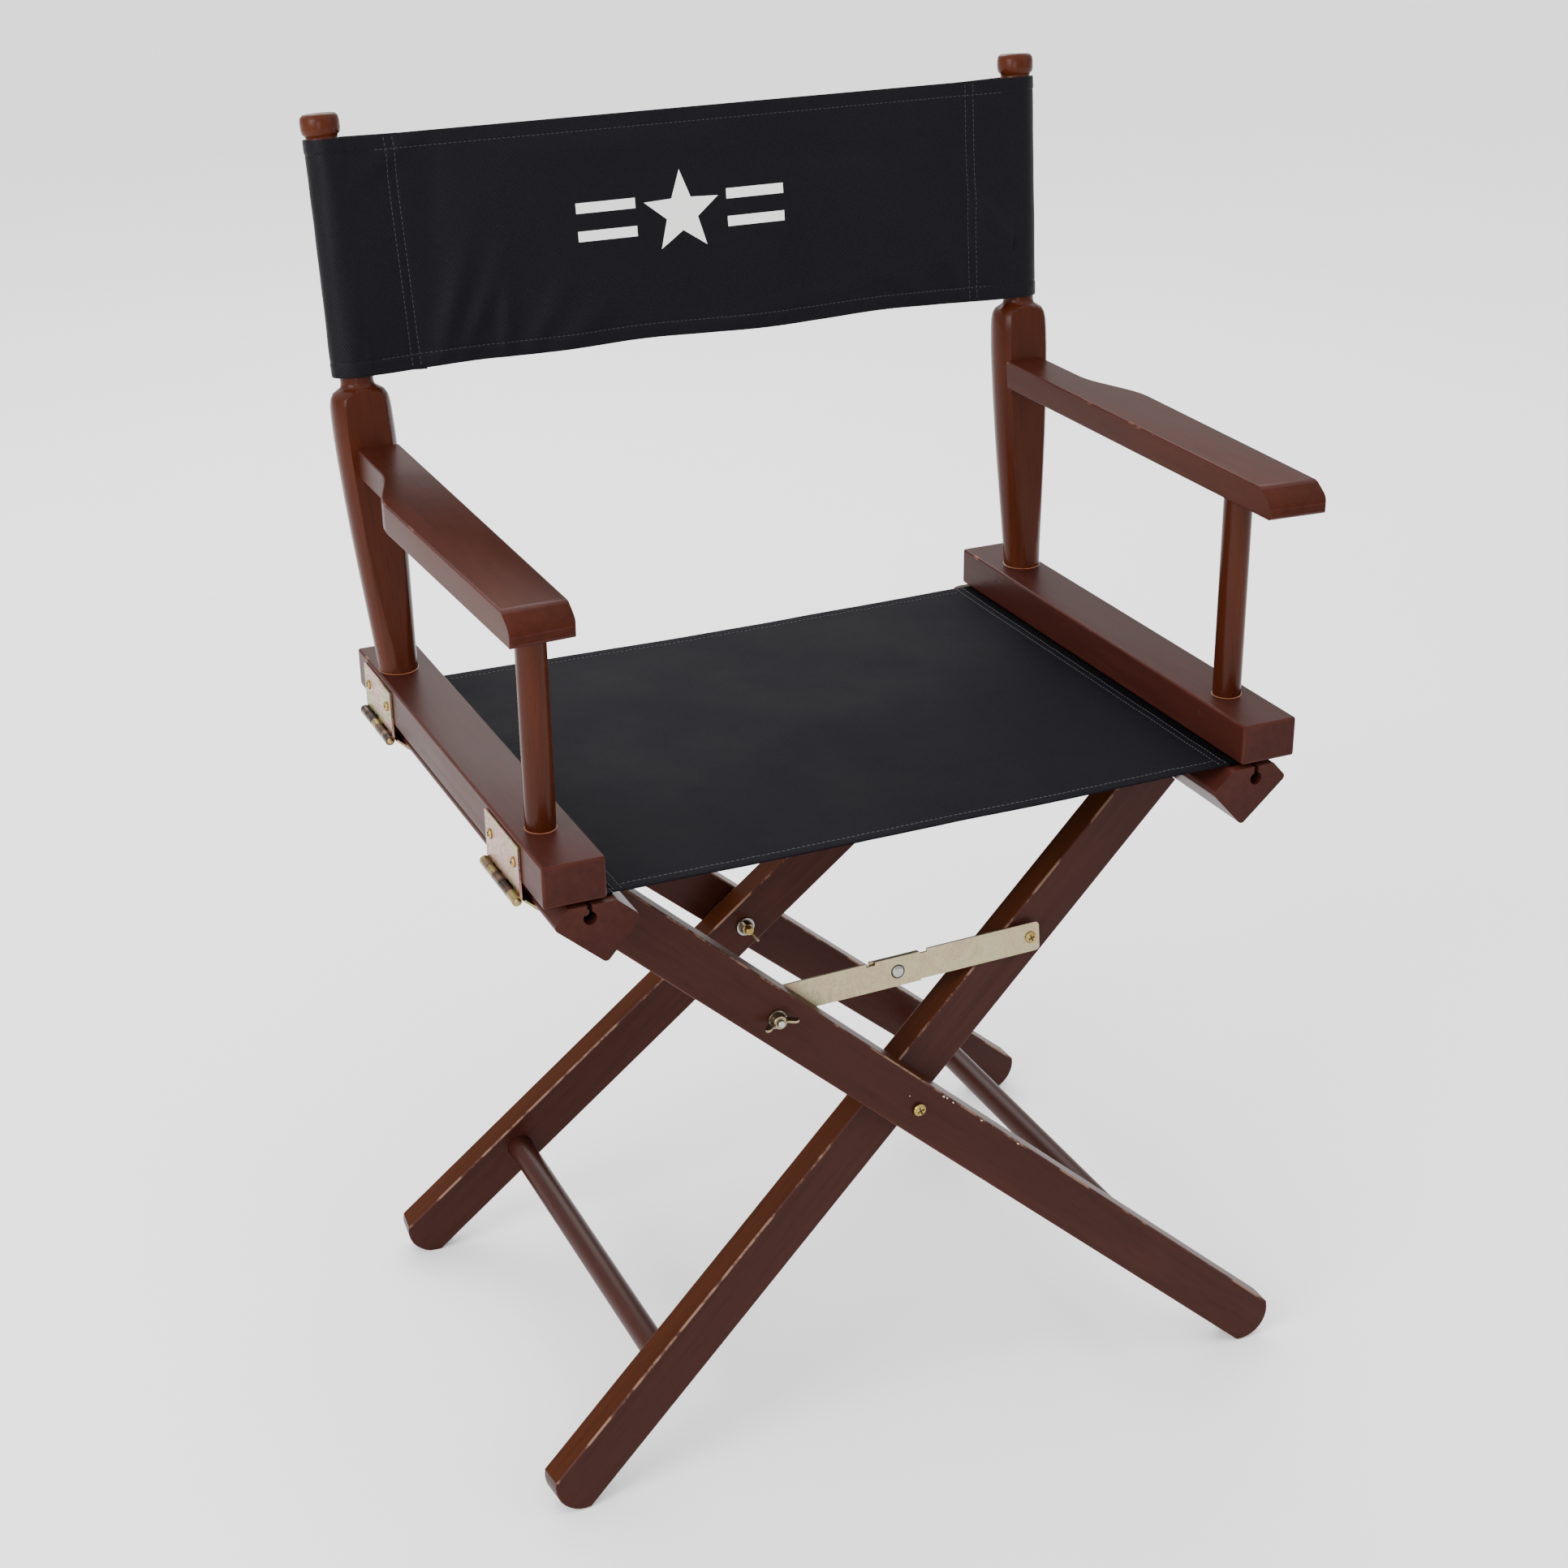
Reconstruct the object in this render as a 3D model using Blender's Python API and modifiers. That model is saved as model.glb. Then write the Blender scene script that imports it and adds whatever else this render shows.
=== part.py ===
"""A folding director chair: two crossed leg frames, hinged sides, canvas seat and canvas back.

Metres, +Z up. The chair faces -Y and +X is its right-hand side as seen from the front.
The rails' middle is Y = 0 before the whole chair is shifted to centre its bounding box.
The outer leg frame holds the front and rear legs that go down towards +X, and the inner
leg frame holds the two that go down towards -X. They turn about one axis along Y.
"""

from math import acos, atan2, copysign, cos, hypot, pi, radians, sin, tan

import bmesh
import bpy
from mathutils import Matrix, Vector

# Whole chair
SHIFT_Y = -0.0026
PIVOT_Z = 0.2419
CLEAR = 0.0003

# Legs: U runs down along a leg from the pivot, V across its width
LEG_ANGLE = radians(41.6)
LEG_WIDTH = 0.0356
LEG_THICK = 0.0209
LEG_FLARE = 0.0966
LEG_OUT_Y = 0.1705
LEG_GAP = 0.0060
LEG_TOP_U = -0.2836
FOOT_RADIUS = 0.0220
FOOT_END_U = 0.3540
STRETCHER_U = 0.2423
STRETCHER_RADIUS = 0.0094
SOCKET_DEPTH = 0.0090

# Rails
RAIL_LENGTH = 0.3934
LOWER_RAIL_DEPTH = 0.0440
SEAT_FLAT_Z = 0.4575
KEYHOLE_X = 0.2333
KEYHOLE_Z = 0.4488
KEYHOLE_RADIUS = 0.0044
KEYHOLE_SLOT = 0.0032
UPPER_RAIL_X = (0.2217, 0.2620)
UPPER_RAIL_Z = (0.4600, 0.4874)
RAIL_BEVEL = 0.0018

# Back posts, leaning back and slightly outwards
POST_X = 0.2464
POST_Y = 0.1477
POST_LEAN = 0.0498 / 0.3726
POST_SPLAY = 0.0113 / 0.3726
POST_HEIGHT = 0.3755
POST_ROD_RADIUS = 0.0112
FACET_BASE = 0.0134
FACET_TOP = 0.0154
FACET_HEIGHT = 0.1920

# Arms
ARM_Z = (0.6255, 0.6452)
ARM_INNER_X = 0.2322
ARM_REAR_X = 0.2618
ARM_WIDE_X = 0.2785
ARM_FRONT_X = 0.2730
ARM_FRONT_Y = -0.1967
ARM_FRONT_SLANT = 0.0025
ARM_NOSE_DEPTH = 0.0140
ARM_NOSE_DROP = 0.0090
ARM_SWELL_Y = (0.0960, 0.0300)
ARM_DOWEL_X = 0.2432
ARM_DOWEL_Y = -0.1419
ARM_DOWEL_RADIUS = 0.0096

# Side hinges
HINGE_LENGTH = 0.0630
HINGE_Y = (0.1440, -0.1260)
HINGE_BARREL = 0.0033
HINGE_PIN = 0.0016
HINGE_BORE = 0.0019
LEAF_THICK = 0.0014
UPPER_LEAF_TOP_Z = 0.4840
UPPER_SCREW_Z = 0.4710
LOWER_LEAF_REACH = 0.0270
LEAF_SCREW_DOWN = 0.0175
LEAF_SCREW_Y = 0.0220

# Canvas
SEAT_Y = (-0.1900, 0.1870)
SEAT_LAYER_Z = (0.4580, 0.4595)
HEM_TUBE = 0.0038
HEM_BORE = 0.0030
HEM_ROD = 0.0026
BACK_H = (0.2040, 0.3597)
SLEEVE_OUTER = 0.0128
SLEEVE_INNER = 0.0117
BACK_CLOTH = 0.0020
BACK_CLOTH_OFFSET = 0.0060
SLEEVE_SEAM_X = 0.2120

# Bolts, nuts and the locking stay
BOLT_RADIUS = 0.0030
BOLT_HOLE = 0.0036
PIVOT_HEAD = 0.0046
PIVOT_WASHER = 0.0072
SPACER_THICK = 0.0036
STAY_LEFT_U = -0.1280
STAY_RIGHT_U = -0.1355
STAY_RIVET_X = 0.0005
STAY_HALF_WIDTH = 0.0105
STAY_THICK = 0.0015
STAY_LAYER_GAP = 0.0005
STAY_NORMAL = (0.0116, 1.0, -0.0656)
STAY_BOLT_AXIS = (0.0487, 1.0, -0.0403)
STAY_FRONT_Y = -0.1360
STAY_TAIL = 0.0170
STAY_OVERLAP = 0.0200
STAY_NOTCH = 0.0195
STAY_BOLT_RADIUS = 0.0024
STAY_RIVET_RADIUS = 0.0021
STAY_SCREW_RADIUS = 0.0020
WASHER_THICK = 0.0012
NUT_HEIGHT = 0.0050

WOOD = ((0.078, 0.026, 0.018), 0.38, 0.0)
ZINC = ((0.620, 0.540, 0.360), 0.30, 1.0)
STEEL = ((0.600, 0.590, 0.570), 0.28, 1.0)
CANVAS = ((0.012, 0.012, 0.014), 0.85, 0.0)


# ---------------------------------------------------------------- scene helpers


def clear_scene():
    for old in list(bpy.data.objects):
        bpy.data.objects.remove(old, do_unlink=True)


def new_collection(name):
    collection = bpy.data.collections.new(name)
    bpy.context.scene.collection.children.link(collection)
    return collection


def material(name, look):
    colour, roughness, metallic = look
    made = bpy.data.materials.new(name)
    made.use_nodes = True
    shader = made.node_tree.nodes["Principled BSDF"]
    shader.inputs["Base Color"].default_value = (*colour, 1.0)
    shader.inputs["Roughness"].default_value = roughness
    shader.inputs["Metallic"].default_value = metallic
    return made


def empty(name, at, parent=None):
    made = bpy.data.objects.new(name, None)
    made.empty_display_size = 0.03
    made.parent = parent
    made.location = at
    PARTS.objects.link(made)
    return made


def place(obj, matrix, body):
    """Puts an object at a matrix in chair coordinates, under its body's empty."""
    obj.parent = body
    obj.matrix_basis = Matrix.Translation(-body.location) @ matrix
    return obj


def part(obj, body, look, matrix=Matrix.Identity(4)):
    PARTS.objects.link(obj)
    obj.data.materials.clear()
    obj.data.materials.append(material(obj.name, look))
    return place(obj, matrix, body)


def cutter(obj, matrix=Matrix.Identity(4)):
    CUTTERS.objects.link(obj)
    obj.hide_render = True
    obj.display_type = "WIRE"
    return place(obj, matrix, OUTER_FRAME)


def cut(obj, tool, operation="DIFFERENCE"):
    step = obj.modifiers.new(operation.lower(), "BOOLEAN")
    step.operation = operation
    step.object = tool
    step.solver = "EXACT"


def bevel(obj, width, segments=2, angle=40.0):
    step = obj.modifiers.new("rounded edges", "BEVEL")
    step.width = width
    step.segments = segments
    step.limit_method = "ANGLE"
    step.angle_limit = radians(angle)


# ---------------------------------------------------------------- shape helpers


def mesh_object(name, work):
    """Turns a bmesh into a smooth-shaded object with sharp edges kept."""
    bmesh.ops.recalc_face_normals(work, faces=work.faces)
    mesh = bpy.data.meshes.new(name)
    work.to_mesh(mesh)
    work.free()
    mesh.shade_smooth()
    mesh.set_sharp_from_angle(angle=radians(35))
    return bpy.data.objects.new(name, mesh)


def block(name, low, high):
    work = bmesh.new()
    bmesh.ops.create_cube(work, size=1.0)
    size = Vector(high) - Vector(low)
    bmesh.ops.scale(work, vec=size, verts=work.verts)
    bmesh.ops.translate(work, vec=(Vector(low) + Vector(high)) / 2, verts=work.verts)
    return mesh_object(name, work)


def rod(name, start, end, radius, sides=24):
    """A closed cylinder from one point to another."""
    start, end = Vector(start), Vector(end)
    work = bmesh.new()
    bmesh.ops.create_cone(
        work, cap_ends=True, segments=sides, radius1=radius, radius2=radius, depth=(end - start).length
    )
    turn = (end - start).to_track_quat("Z", "Y").to_matrix().to_4x4()
    bmesh.ops.transform(work, matrix=Matrix.Translation((start + end) / 2) @ turn, verts=work.verts)
    return mesh_object(name, work)


def turned(name, profile, steps=32):
    """A turned shape about local Z. The profile's (radius, height) points run down its outer side."""
    mesh = bpy.data.meshes.new(name)
    mesh.from_pydata([(r, 0.0, h) for r, h in profile], [(i, i + 1) for i in range(len(profile) - 1)], [])
    made = bpy.data.objects.new(name, mesh)
    screw = made.modifiers.new("turned", "SCREW")
    screw.steps = steps
    screw.render_steps = steps
    screw.use_merge_vertices = True
    screw.merge_threshold = 0.00001
    screw.use_smooth_shade = True
    return made


def circle(x, y, radius, sides=16, start=0.0, turn=2 * pi):
    """Points round a circle, or along the arc of it that starts at an angle."""
    count = sides if turn == 2 * pi else sides + 1
    return [(x + radius * cos(start + turn * i / sides), y + radius * sin(start + turn * i / sides))
            for i in range(count)]


def rounded(corners, steps=4):
    """An outline whose (x, y, radius) corners become arcs."""
    outline = []
    for i, (x, y, radius) in enumerate(corners):
        here = Vector((x, y))
        if radius == 0.0:
            outline.append((x, y))
            continue
        before = (Vector(corners[i - 1][:2]) - here).normalized()
        after = (Vector(corners[(i + 1) % len(corners)][:2]) - here).normalized()
        half = before.angle(after) / 2
        middle = here + (before + after).normalized() * radius / sin(half)
        spoke = here + before * radius / tan(half) - middle
        turn = copysign(pi - 2 * half, before.y * after.x - before.x * after.y)
        outline += circle(middle.x, middle.y, radius, steps, atan2(spoke.y, spoke.x), turn)
    return outline


def plate(name, loops, thickness):
    """A flat outline, with any holes, extruded both ways along local Z and made a mesh."""
    curve = bpy.data.curves.new(name, "CURVE")
    curve.dimensions = "2D"
    curve.fill_mode = "BOTH"
    curve.extrude = thickness / 2
    for loop in loops:
        spline = curve.splines.new("POLY")
        spline.points.add(len(loop) - 1)
        for point, (x, y) in zip(spline.points, loop):
            point.co = (x, y, 0.0, 1.0)
        spline.use_cyclic_u = True
    drawn = bpy.data.objects.new(name + "_outline", curve)
    bpy.context.scene.collection.objects.link(drawn)
    bpy.context.view_layer.update()
    solid = bpy.data.meshes.new_from_object(drawn.evaluated_get(bpy.context.evaluated_depsgraph_get()))
    bpy.data.objects.remove(drawn)
    bpy.data.curves.remove(curve)
    work = bmesh.new()
    work.from_mesh(solid)
    bpy.data.meshes.remove(solid)
    bmesh.ops.remove_doubles(work, verts=work.verts, dist=0.000001)
    bmesh.ops.dissolve_limit(work, angle_limit=0.001, verts=work.verts, edges=work.edges)
    return mesh_object(name, work)


def axes(x_axis, y_axis, origin):
    """The matrix whose local X and Y point along two right-angled directions."""
    x_axis, y_axis = Vector(x_axis).normalized(), Vector(y_axis).normalized()
    turn = Matrix((x_axis, y_axis, x_axis.cross(y_axis))).transposed()
    return Matrix.Translation(origin) @ turn.to_4x4()


def along_y(name, x, z, start, end, radius, sides=24):
    return rod(name, (x, start, z), (x, end, z), radius, sides)


# Turns an outline drawn in X and Y upright, so that it is extruded along the chair's Y
FRONT_VIEW = Matrix.Rotation(pi / 2, 4, "X")


# ---------------------------------------------------------------- leg frames


def leg_point(side, end, across, along, layer):
    """A chair point on a leg. side +1 goes down to +X, end -1 is the front.

    layer counts depth inwards from the outer leg's outer face.
    """
    x = side * (along * cos(LEG_ANGLE) + across * sin(LEG_ANGLE))
    z = PIVOT_Z - along * sin(LEG_ANGLE) + across * cos(LEG_ANGLE)
    y = end * (LEG_OUT_Y - layer + LEG_FLARE * along)
    return Vector((x, y, z))


def layer_of(side):
    """How far the leg's outer face lies behind the outer leg's."""
    return 0.0 if side > 0 else LEG_THICK + LEG_GAP


def leg_view(side):
    """Local X runs down a leg and local Y across it, seen along the chair's Y."""
    return axes((side * cos(LEG_ANGLE), 0, -sin(LEG_ANGLE)), (side * sin(LEG_ANGLE), 0, cos(LEG_ANGLE)),
                (0, 0, PIVOT_Z))


def leg(name, side, end, body):
    """A straight bar with an arched foot and a small flat where it stands."""
    stretch = hypot(1.0, LEG_FLARE)
    half = LEG_WIDTH / 2
    arc = atan2(half, (FOOT_RADIUS**2 - half**2) ** 0.5)
    foot = circle(FOOT_END_U - FOOT_RADIUS, 0.0, FOOT_RADIUS, 10, -arc, 2 * arc)
    top = LEG_TOP_U - 0.0040
    outline = [(top, -half)] + foot + [(top, half)]
    made = plate(name, [[(u * stretch, v) for u, v in outline]], LEG_THICK / stretch)
    down = (side * cos(LEG_ANGLE), end * LEG_FLARE, -sin(LEG_ANGLE))
    over = (side * sin(LEG_ANGLE), 0.0, cos(LEG_ANGLE))
    middle = leg_point(side, end, 0.0, 0.0, layer_of(side) + LEG_THICK / 2)
    part(made, body, WOOD, axes(down, over, middle))
    bevel(made, 0.0012, 2, 45.0)
    return made


def lower_rail_corner(along, across):
    """X and Z of a point on the +X lower rail, along and across the leg that meets it."""
    x = along * cos(LEG_ANGLE) - across * sin(LEG_ANGLE)
    z = PIVOT_Z + along * sin(LEG_ANGLE) + across * cos(LEG_ANGLE)
    return x, z


def lower_rail_shape():
    """The five corners of the +X lower rail's end: bottom, inner, both ends of the flat, outer."""
    near, far, half = -LEG_TOP_U, -LEG_TOP_U + LOWER_RAIL_DEPTH, LEG_WIDTH / 2
    bottom = lower_rail_corner(near, -half)
    inner = lower_rail_corner(near, half)
    outer = lower_rail_corner(far, -half)
    flat_in = inner[0] + (SEAT_FLAT_Z - inner[1]) / tan(LEG_ANGLE)
    flat_out = outer[0] - (SEAT_FLAT_Z - outer[1]) * tan(LEG_ANGLE)
    return bottom, inner, (flat_in, SEAT_FLAT_Z), (flat_out, SEAT_FLAT_Z), outer


def lower_rail(name, side, body):
    """A bar in line with its legs, with a flat for the seat and a keyhole for the seat's rod."""
    radii = (0.0030, 0.0040, 0.0060, 0.0012, 0.0030)
    steps = 4
    corners = [(*corner, radius) for corner, radius in zip(lower_rail_shape(), radii)]
    outline = rounded(corners, steps)
    slot = KEYHOLE_SLOT / 2
    lean = atan2(slot, (KEYHOLE_RADIUS**2 - slot**2) ** 0.5)
    hole = circle(KEYHOLE_X, KEYHOLE_Z, KEYHOLE_RADIUS, 14, pi / 2 + lean, 2 * pi - 2 * lean)
    keyhole = [(KEYHOLE_X - slot, SEAT_FLAT_Z)] + hole + [(KEYHOLE_X + slot, SEAT_FLAT_Z)]
    flat_start = 3 * (steps + 1)
    outline = outline[:flat_start] + keyhole + outline[flat_start:]
    made = plate(name, [[(side * x, z) for x, z in outline]], RAIL_LENGTH)
    return part(made, body, WOOD, FRONT_VIEW)


def build_leg_frame(side, kind, rail_name, stretcher_name, body):
    """Two legs, the lower rail on their top ends, and the stretcher low between them."""
    foot = leg_point(side, 1, 0.0, STRETCHER_U, layer_of(side) + LEG_THICK)
    reach = foot.y + SOCKET_DEPTH
    bar = along_y(stretcher_name, foot.x, foot.z, -reach + CLEAR, reach - CLEAR, STRETCHER_RADIUS)
    part(bar, body, WOOD)
    socket = cutter(along_y(f"{kind}_sockets", foot.x, foot.z, -reach, reach, STRETCHER_RADIUS + CLEAR))
    above = block(f"{kind}_above_legs", (LEG_TOP_U - 0.03, -0.03, -0.25), (LEG_TOP_U + CLEAR, 0.03, 0.25))
    above = cutter(above, leg_view(side))
    for end, word in ((-1, "front"), (1, "rear")):
        made = leg(f"{kind}_leg_{word}", side, end, body)
        for tool in (FLOOR, above, socket, PIVOT_HOLE):
            cut(made, tool)
        if word == "front":
            cut(made, STAY_HOLES[side])
    rail = lower_rail(rail_name, -side, body)
    x, z = hinge_centre()
    down = LEAF_SCREW_DOWN
    surface = Vector((-side * (x - down * cos(LEG_ANGLE)), 0.0, z - down * sin(LEG_ANGLE)))
    into = Vector((side * sin(LEG_ANGLE), 0.0, cos(LEG_ANGLE)))
    drill_screw_holes(rail, surface, into)


def drill_screw_holes(rail, surface, into):
    """Pilot holes for the hinge screws, four along a rail."""
    for place_index, middle in enumerate(HINGE_Y):
        for screw_index, offset in enumerate((-LEAF_SCREW_Y, LEAF_SCREW_Y)):
            start = surface + Vector((0.0, middle + offset, 0.0))
            hole = rod(f"{rail.name}_screw_{place_index}_{screw_index}", start, start + into * 0.0130, 0.0011, 10)
            cut(rail, cutter(hole))


# ---------------------------------------------------------------- sides


def post_matrix(side):
    """Local Z runs up the leaning post from the upper rail's top, local Y points back."""
    up = Vector((side * POST_SPLAY, POST_LEAN, 1.0)).normalized()
    right = Vector((0.0, 1.0, 0.0)).cross(up)
    return axes(right, up.cross(right), (side * POST_X, POST_Y, UPPER_RAIL_Z[1]))


def post_profile():
    """Radius and height from the knob down to the base."""
    top = POST_HEIGHT
    knob = [(0.0, top - 0.0008), (0.0075, top - 0.0008), (0.0086, top), (0.0106, top - 0.0003),
            (0.0124, top - 0.0020), (0.0130, top - 0.0048), (0.0130, top - 0.0095), (0.0125, top - 0.0125),
            (0.0108, top - 0.0140)]
    neck = [(0.0105, top - 0.0155), (POST_ROD_RADIUS, top - 0.0170), (POST_ROD_RADIUS, 0.2000),
            (0.0117, 0.1975), (0.0135, 0.1962)]
    shoulder = [(0.0172, 0.1940), (0.0193, 0.1905), (0.0203, 0.1860), (0.0207, 0.1790)]
    shaft = [(0.0209, 0.1650), (0.0207, 0.1500), (0.0200, 0.1250), (0.0190, 0.1000), (0.0178, 0.0770),
             (0.0163, 0.0520), (0.0151, 0.0330), (0.0141, 0.0150), (0.0135, 0.0), (0.0132, -0.0060),
             (0.0, -0.0060)]
    return knob + neck + shoulder + shaft


def facet_side(name, side, low_y, high_y, offset):
    """A cutter between two depths from the plane of a post's flat facet, which the arm meets."""
    lean = atan2(FACET_TOP - FACET_BASE, FACET_HEIGHT)
    tool = block(name, (-0.05, low_y, -0.03), (0.05, high_y, FACET_HEIGHT + 0.01))
    plane = Matrix.Translation((0.0, -FACET_BASE + offset, 0.0)) @ Matrix.Rotation(lean, 4, "X")
    return cutter(tool, post_matrix(side) @ plane)


def back_post(name, side, body):
    made = turned(name, post_profile())
    part(made, body, WOOD, post_matrix(side))
    cut(made, facet_side(name + "_facet", side, -0.05, 0.0, 0.0))
    cut(made, RAIL_TOP)
    return made


def arm_plan(side):
    """The arm seen from above: straight inside, narrowed by an S at the rear outside."""
    steps = 8
    swell = []
    for i in range(steps + 1):
        ratio = i / steps
        ease = ratio * ratio * (3 - 2 * ratio)
        x = ARM_REAR_X + (ARM_WIDE_X - ARM_REAR_X) * ease
        y = ARM_SWELL_Y[0] + (ARM_SWELL_Y[1] - ARM_SWELL_Y[0]) * ratio
        swell.append((x, y, 0.0))
    rear_y = 0.1700
    nose = [(ARM_FRONT_X, ARM_FRONT_Y, 0.0), (ARM_INNER_X, ARM_FRONT_Y + ARM_FRONT_SLANT, 0.0)]
    corners = [(ARM_REAR_X, rear_y, 0.0)] + swell + nose + [(ARM_INNER_X, rear_y, 0.0)]
    return [(side * x, y) for x, y in rounded(corners, 5)]


def armrest(name, side, body):
    """A flat board whose front end rolls over to a small lower edge, cut to lie against the post's facet."""
    low, high = ARM_Z
    made = plate(name, [arm_plan(side)], high - low)
    part(made, body, WOOD, Matrix.Translation((0.0, 0.0, (low + high) / 2)))
    bevel(made, 0.0014, 2, 50.0)
    spread = 0.0100
    front = ARM_FRONT_Y - 0.0002
    section = rounded([(front, low, 0.0038), (0.1900, low - spread, 0.0), (0.1900, high + spread, 0.0),
                       (front + ARM_NOSE_DEPTH, high, 0.0120),
                       (front, high - ARM_NOSE_DROP, 0.0110)], 7)
    slant = Matrix.Rotation(side * atan2(-ARM_FRONT_SLANT, ARM_FRONT_X - ARM_INNER_X), 4, "Z")
    corner = Matrix.Translation((side * ARM_FRONT_X, ARM_FRONT_Y, 0.0))
    across = corner @ slant @ corner.inverted() @ axes((0, 1, 0), (0, 0, 1), (side * 0.25, 0, 0))
    nose = cutter(plate(name + "_nose", [section], 0.12), across)
    cut(made, nose, "INTERSECT")
    cut(made, facet_side(name + "_rear", side, 0.0, 0.06, -CLEAR))
    return made


def upper_rail(name, side, body):
    x = sorted((side * UPPER_RAIL_X[0], side * UPPER_RAIL_X[1]))
    made = block(name, (x[0], -RAIL_LENGTH / 2, UPPER_RAIL_Z[0]), (x[1], RAIL_LENGTH / 2, UPPER_RAIL_Z[1]))
    part(made, body, WOOD)
    bevel(made, RAIL_BEVEL, 3)
    surface = Vector((side * (UPPER_RAIL_X[1] + 0.002), 0.0, UPPER_SCREW_Z))
    drill_screw_holes(made, surface, Vector((-side, 0.0, 0.0)))
    return made


def build_side(side, word, body):
    upper_rail(f"upper_rail_{word}", side, body)
    back_post(f"back_post_{word}", side, body)
    armrest(f"armrest_{word}", side, body)
    x = side * ARM_DOWEL_X
    dowel = rod(f"arm_dowel_{word}", (x, ARM_DOWEL_Y, UPPER_RAIL_Z[1] + CLEAR),
                (x, ARM_DOWEL_Y, ARM_Z[0] - CLEAR), ARM_DOWEL_RADIUS)
    part(dowel, body, WOOD)


# ---------------------------------------------------------------- side hinges


def hinge_centre():
    """X and Z of a hinge pin: tangent to the upper rail's side and the lower rail's underside."""
    stand = HINGE_BARREL + CLEAR
    corner = lower_rail_shape()[0]
    x = UPPER_RAIL_X[1] + stand
    z = corner[1] + ((x - corner[0]) * sin(LEG_ANGLE) - stand) / cos(LEG_ANGLE)
    return x, z


def leaf_outline(reach):
    """A leaf seen along its pin: a plate up local Y, tangent to its knuckle's inner side."""
    meet = acos((HINGE_BARREL - LEAF_THICK) / HINGE_BARREL)
    knuckle = circle(0.0, 0.0, HINGE_BARREL, 16, pi, 2 * pi - meet)
    return [(-HINGE_BARREL, reach)] + knuckle + [(-HINGE_BARREL + LEAF_THICK, reach)]


def hinge_leaf(name, view, reach, owned, screw_at, body):
    """A leaf that keeps the even or the odd ones of five knuckles, with two screw holes."""
    made = plate(name, [leaf_outline(reach), circle(0.0, 0.0, HINGE_BORE, 12)], HINGE_LENGTH)
    part(made, body, ZINC, view)
    pitch = HINGE_LENGTH / 5
    room = HINGE_BARREL + 2 * CLEAR
    for k in range(5):
        if k % 2 == owned:
            continue
        start = -HINGE_LENGTH / 2 + k * pitch - (CLEAR if k > 0 else 0.002)
        end = -HINGE_LENGTH / 2 + (k + 1) * pitch + (CLEAR if k < 4 else 0.002)
        tool = block(f"{name}_gap_{k}", (-room - 0.001, -room, start), (room, room, end))
        cut(made, cutter(tool, view))
    for index, offset in enumerate((-LEAF_SCREW_Y, LEAF_SCREW_Y)):
        hole = rod(f"{name}_hole_{index}", (-0.006, screw_at, offset), (0.0, screw_at, offset), 0.0019, 12)
        cut(made, cutter(hole, view))
    return made


def hinge(name, side, y, frame_body, side_body):
    """Upper leaf with three knuckles, lower leaf with two, and the pin through them."""
    x, z = hinge_centre()
    pin = (side * x, y, z)
    up_view = axes((side, 0, 0), (0, 0, 1), pin)
    down_view = axes((side * sin(LEG_ANGLE), 0, -cos(LEG_ANGLE)), (-side * cos(LEG_ANGLE), 0, -sin(LEG_ANGLE)), pin)
    hinge_leaf(f"{name}_upper_leaf", up_view, UPPER_LEAF_TOP_Z - z, 0, UPPER_SCREW_Z - z, side_body)
    hinge_leaf(f"{name}_lower_leaf", down_view, LOWER_LEAF_REACH, 1, LEAF_SCREW_DOWN, frame_body)
    half = HINGE_LENGTH / 2
    dome = [(0.0, half + 0.0016), (0.0012, half + 0.0014), (0.0021, half + 0.0009), (0.0024, half + CLEAR),
            (HINGE_PIN, half + CLEAR)]
    profile = dome + [(r, -h) for r, h in reversed(dome)]
    part(turned(f"{name}_pin", profile, 16), frame_body, STEEL,
         Matrix.Translation(pin) @ Matrix.Rotation(pi / 2, 4, "X"))


# ---------------------------------------------------------------- canvas


def seat_hem(name, side, body):
    """The hem's tube round its rod, its neck through the slot, and the cloth out to the rail's edge."""
    low, high = SEAT_LAYER_Z
    half_neck = KEYHOLE_SLOT / 2 - CLEAR
    lean = atan2(half_neck, (HEM_TUBE**2 - half_neck**2) ** 0.5)
    tube = circle(KEYHOLE_X, KEYHOLE_Z, HEM_TUBE, 14, pi / 2 + lean, 2 * pi - 2 * lean)
    edge = lower_rail_shape()[2][0] + CLEAR
    top = [(KEYHOLE_X + half_neck, high), (edge, high), (edge, low), (KEYHOLE_X - half_neck, low)]
    bore = circle(KEYHOLE_X, KEYHOLE_Z, HEM_BORE, 12)
    loops = [[(side * x, z) for x, z in loop] for loop in (tube + top, bore)]
    made = plate(name, loops, SEAT_Y[1] - SEAT_Y[0])
    return part(made, body, CANVAS, Matrix.Translation((0.0, sum(SEAT_Y) / 2, 0.0)) @ FRONT_VIEW)


def drop_loop(tip, radius, side_gap):
    """A teardrop's outline: round a circle at 0, 0 and straight to a blunt tip towards -X."""
    front, back = Vector((tip[0], tip[1] - side_gap)), Vector((tip[0], tip[1] + side_gap))
    first = atan2(front.y, front.x) + acos(radius / front.length)
    last = atan2(back.y, back.x) - acos(radius / back.length)
    start = first if first < 0 else first - 2 * pi
    turn = (last - start) % (2 * pi)
    return circle(0.0, 0.0, radius, 20, start, turn), front, back


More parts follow.
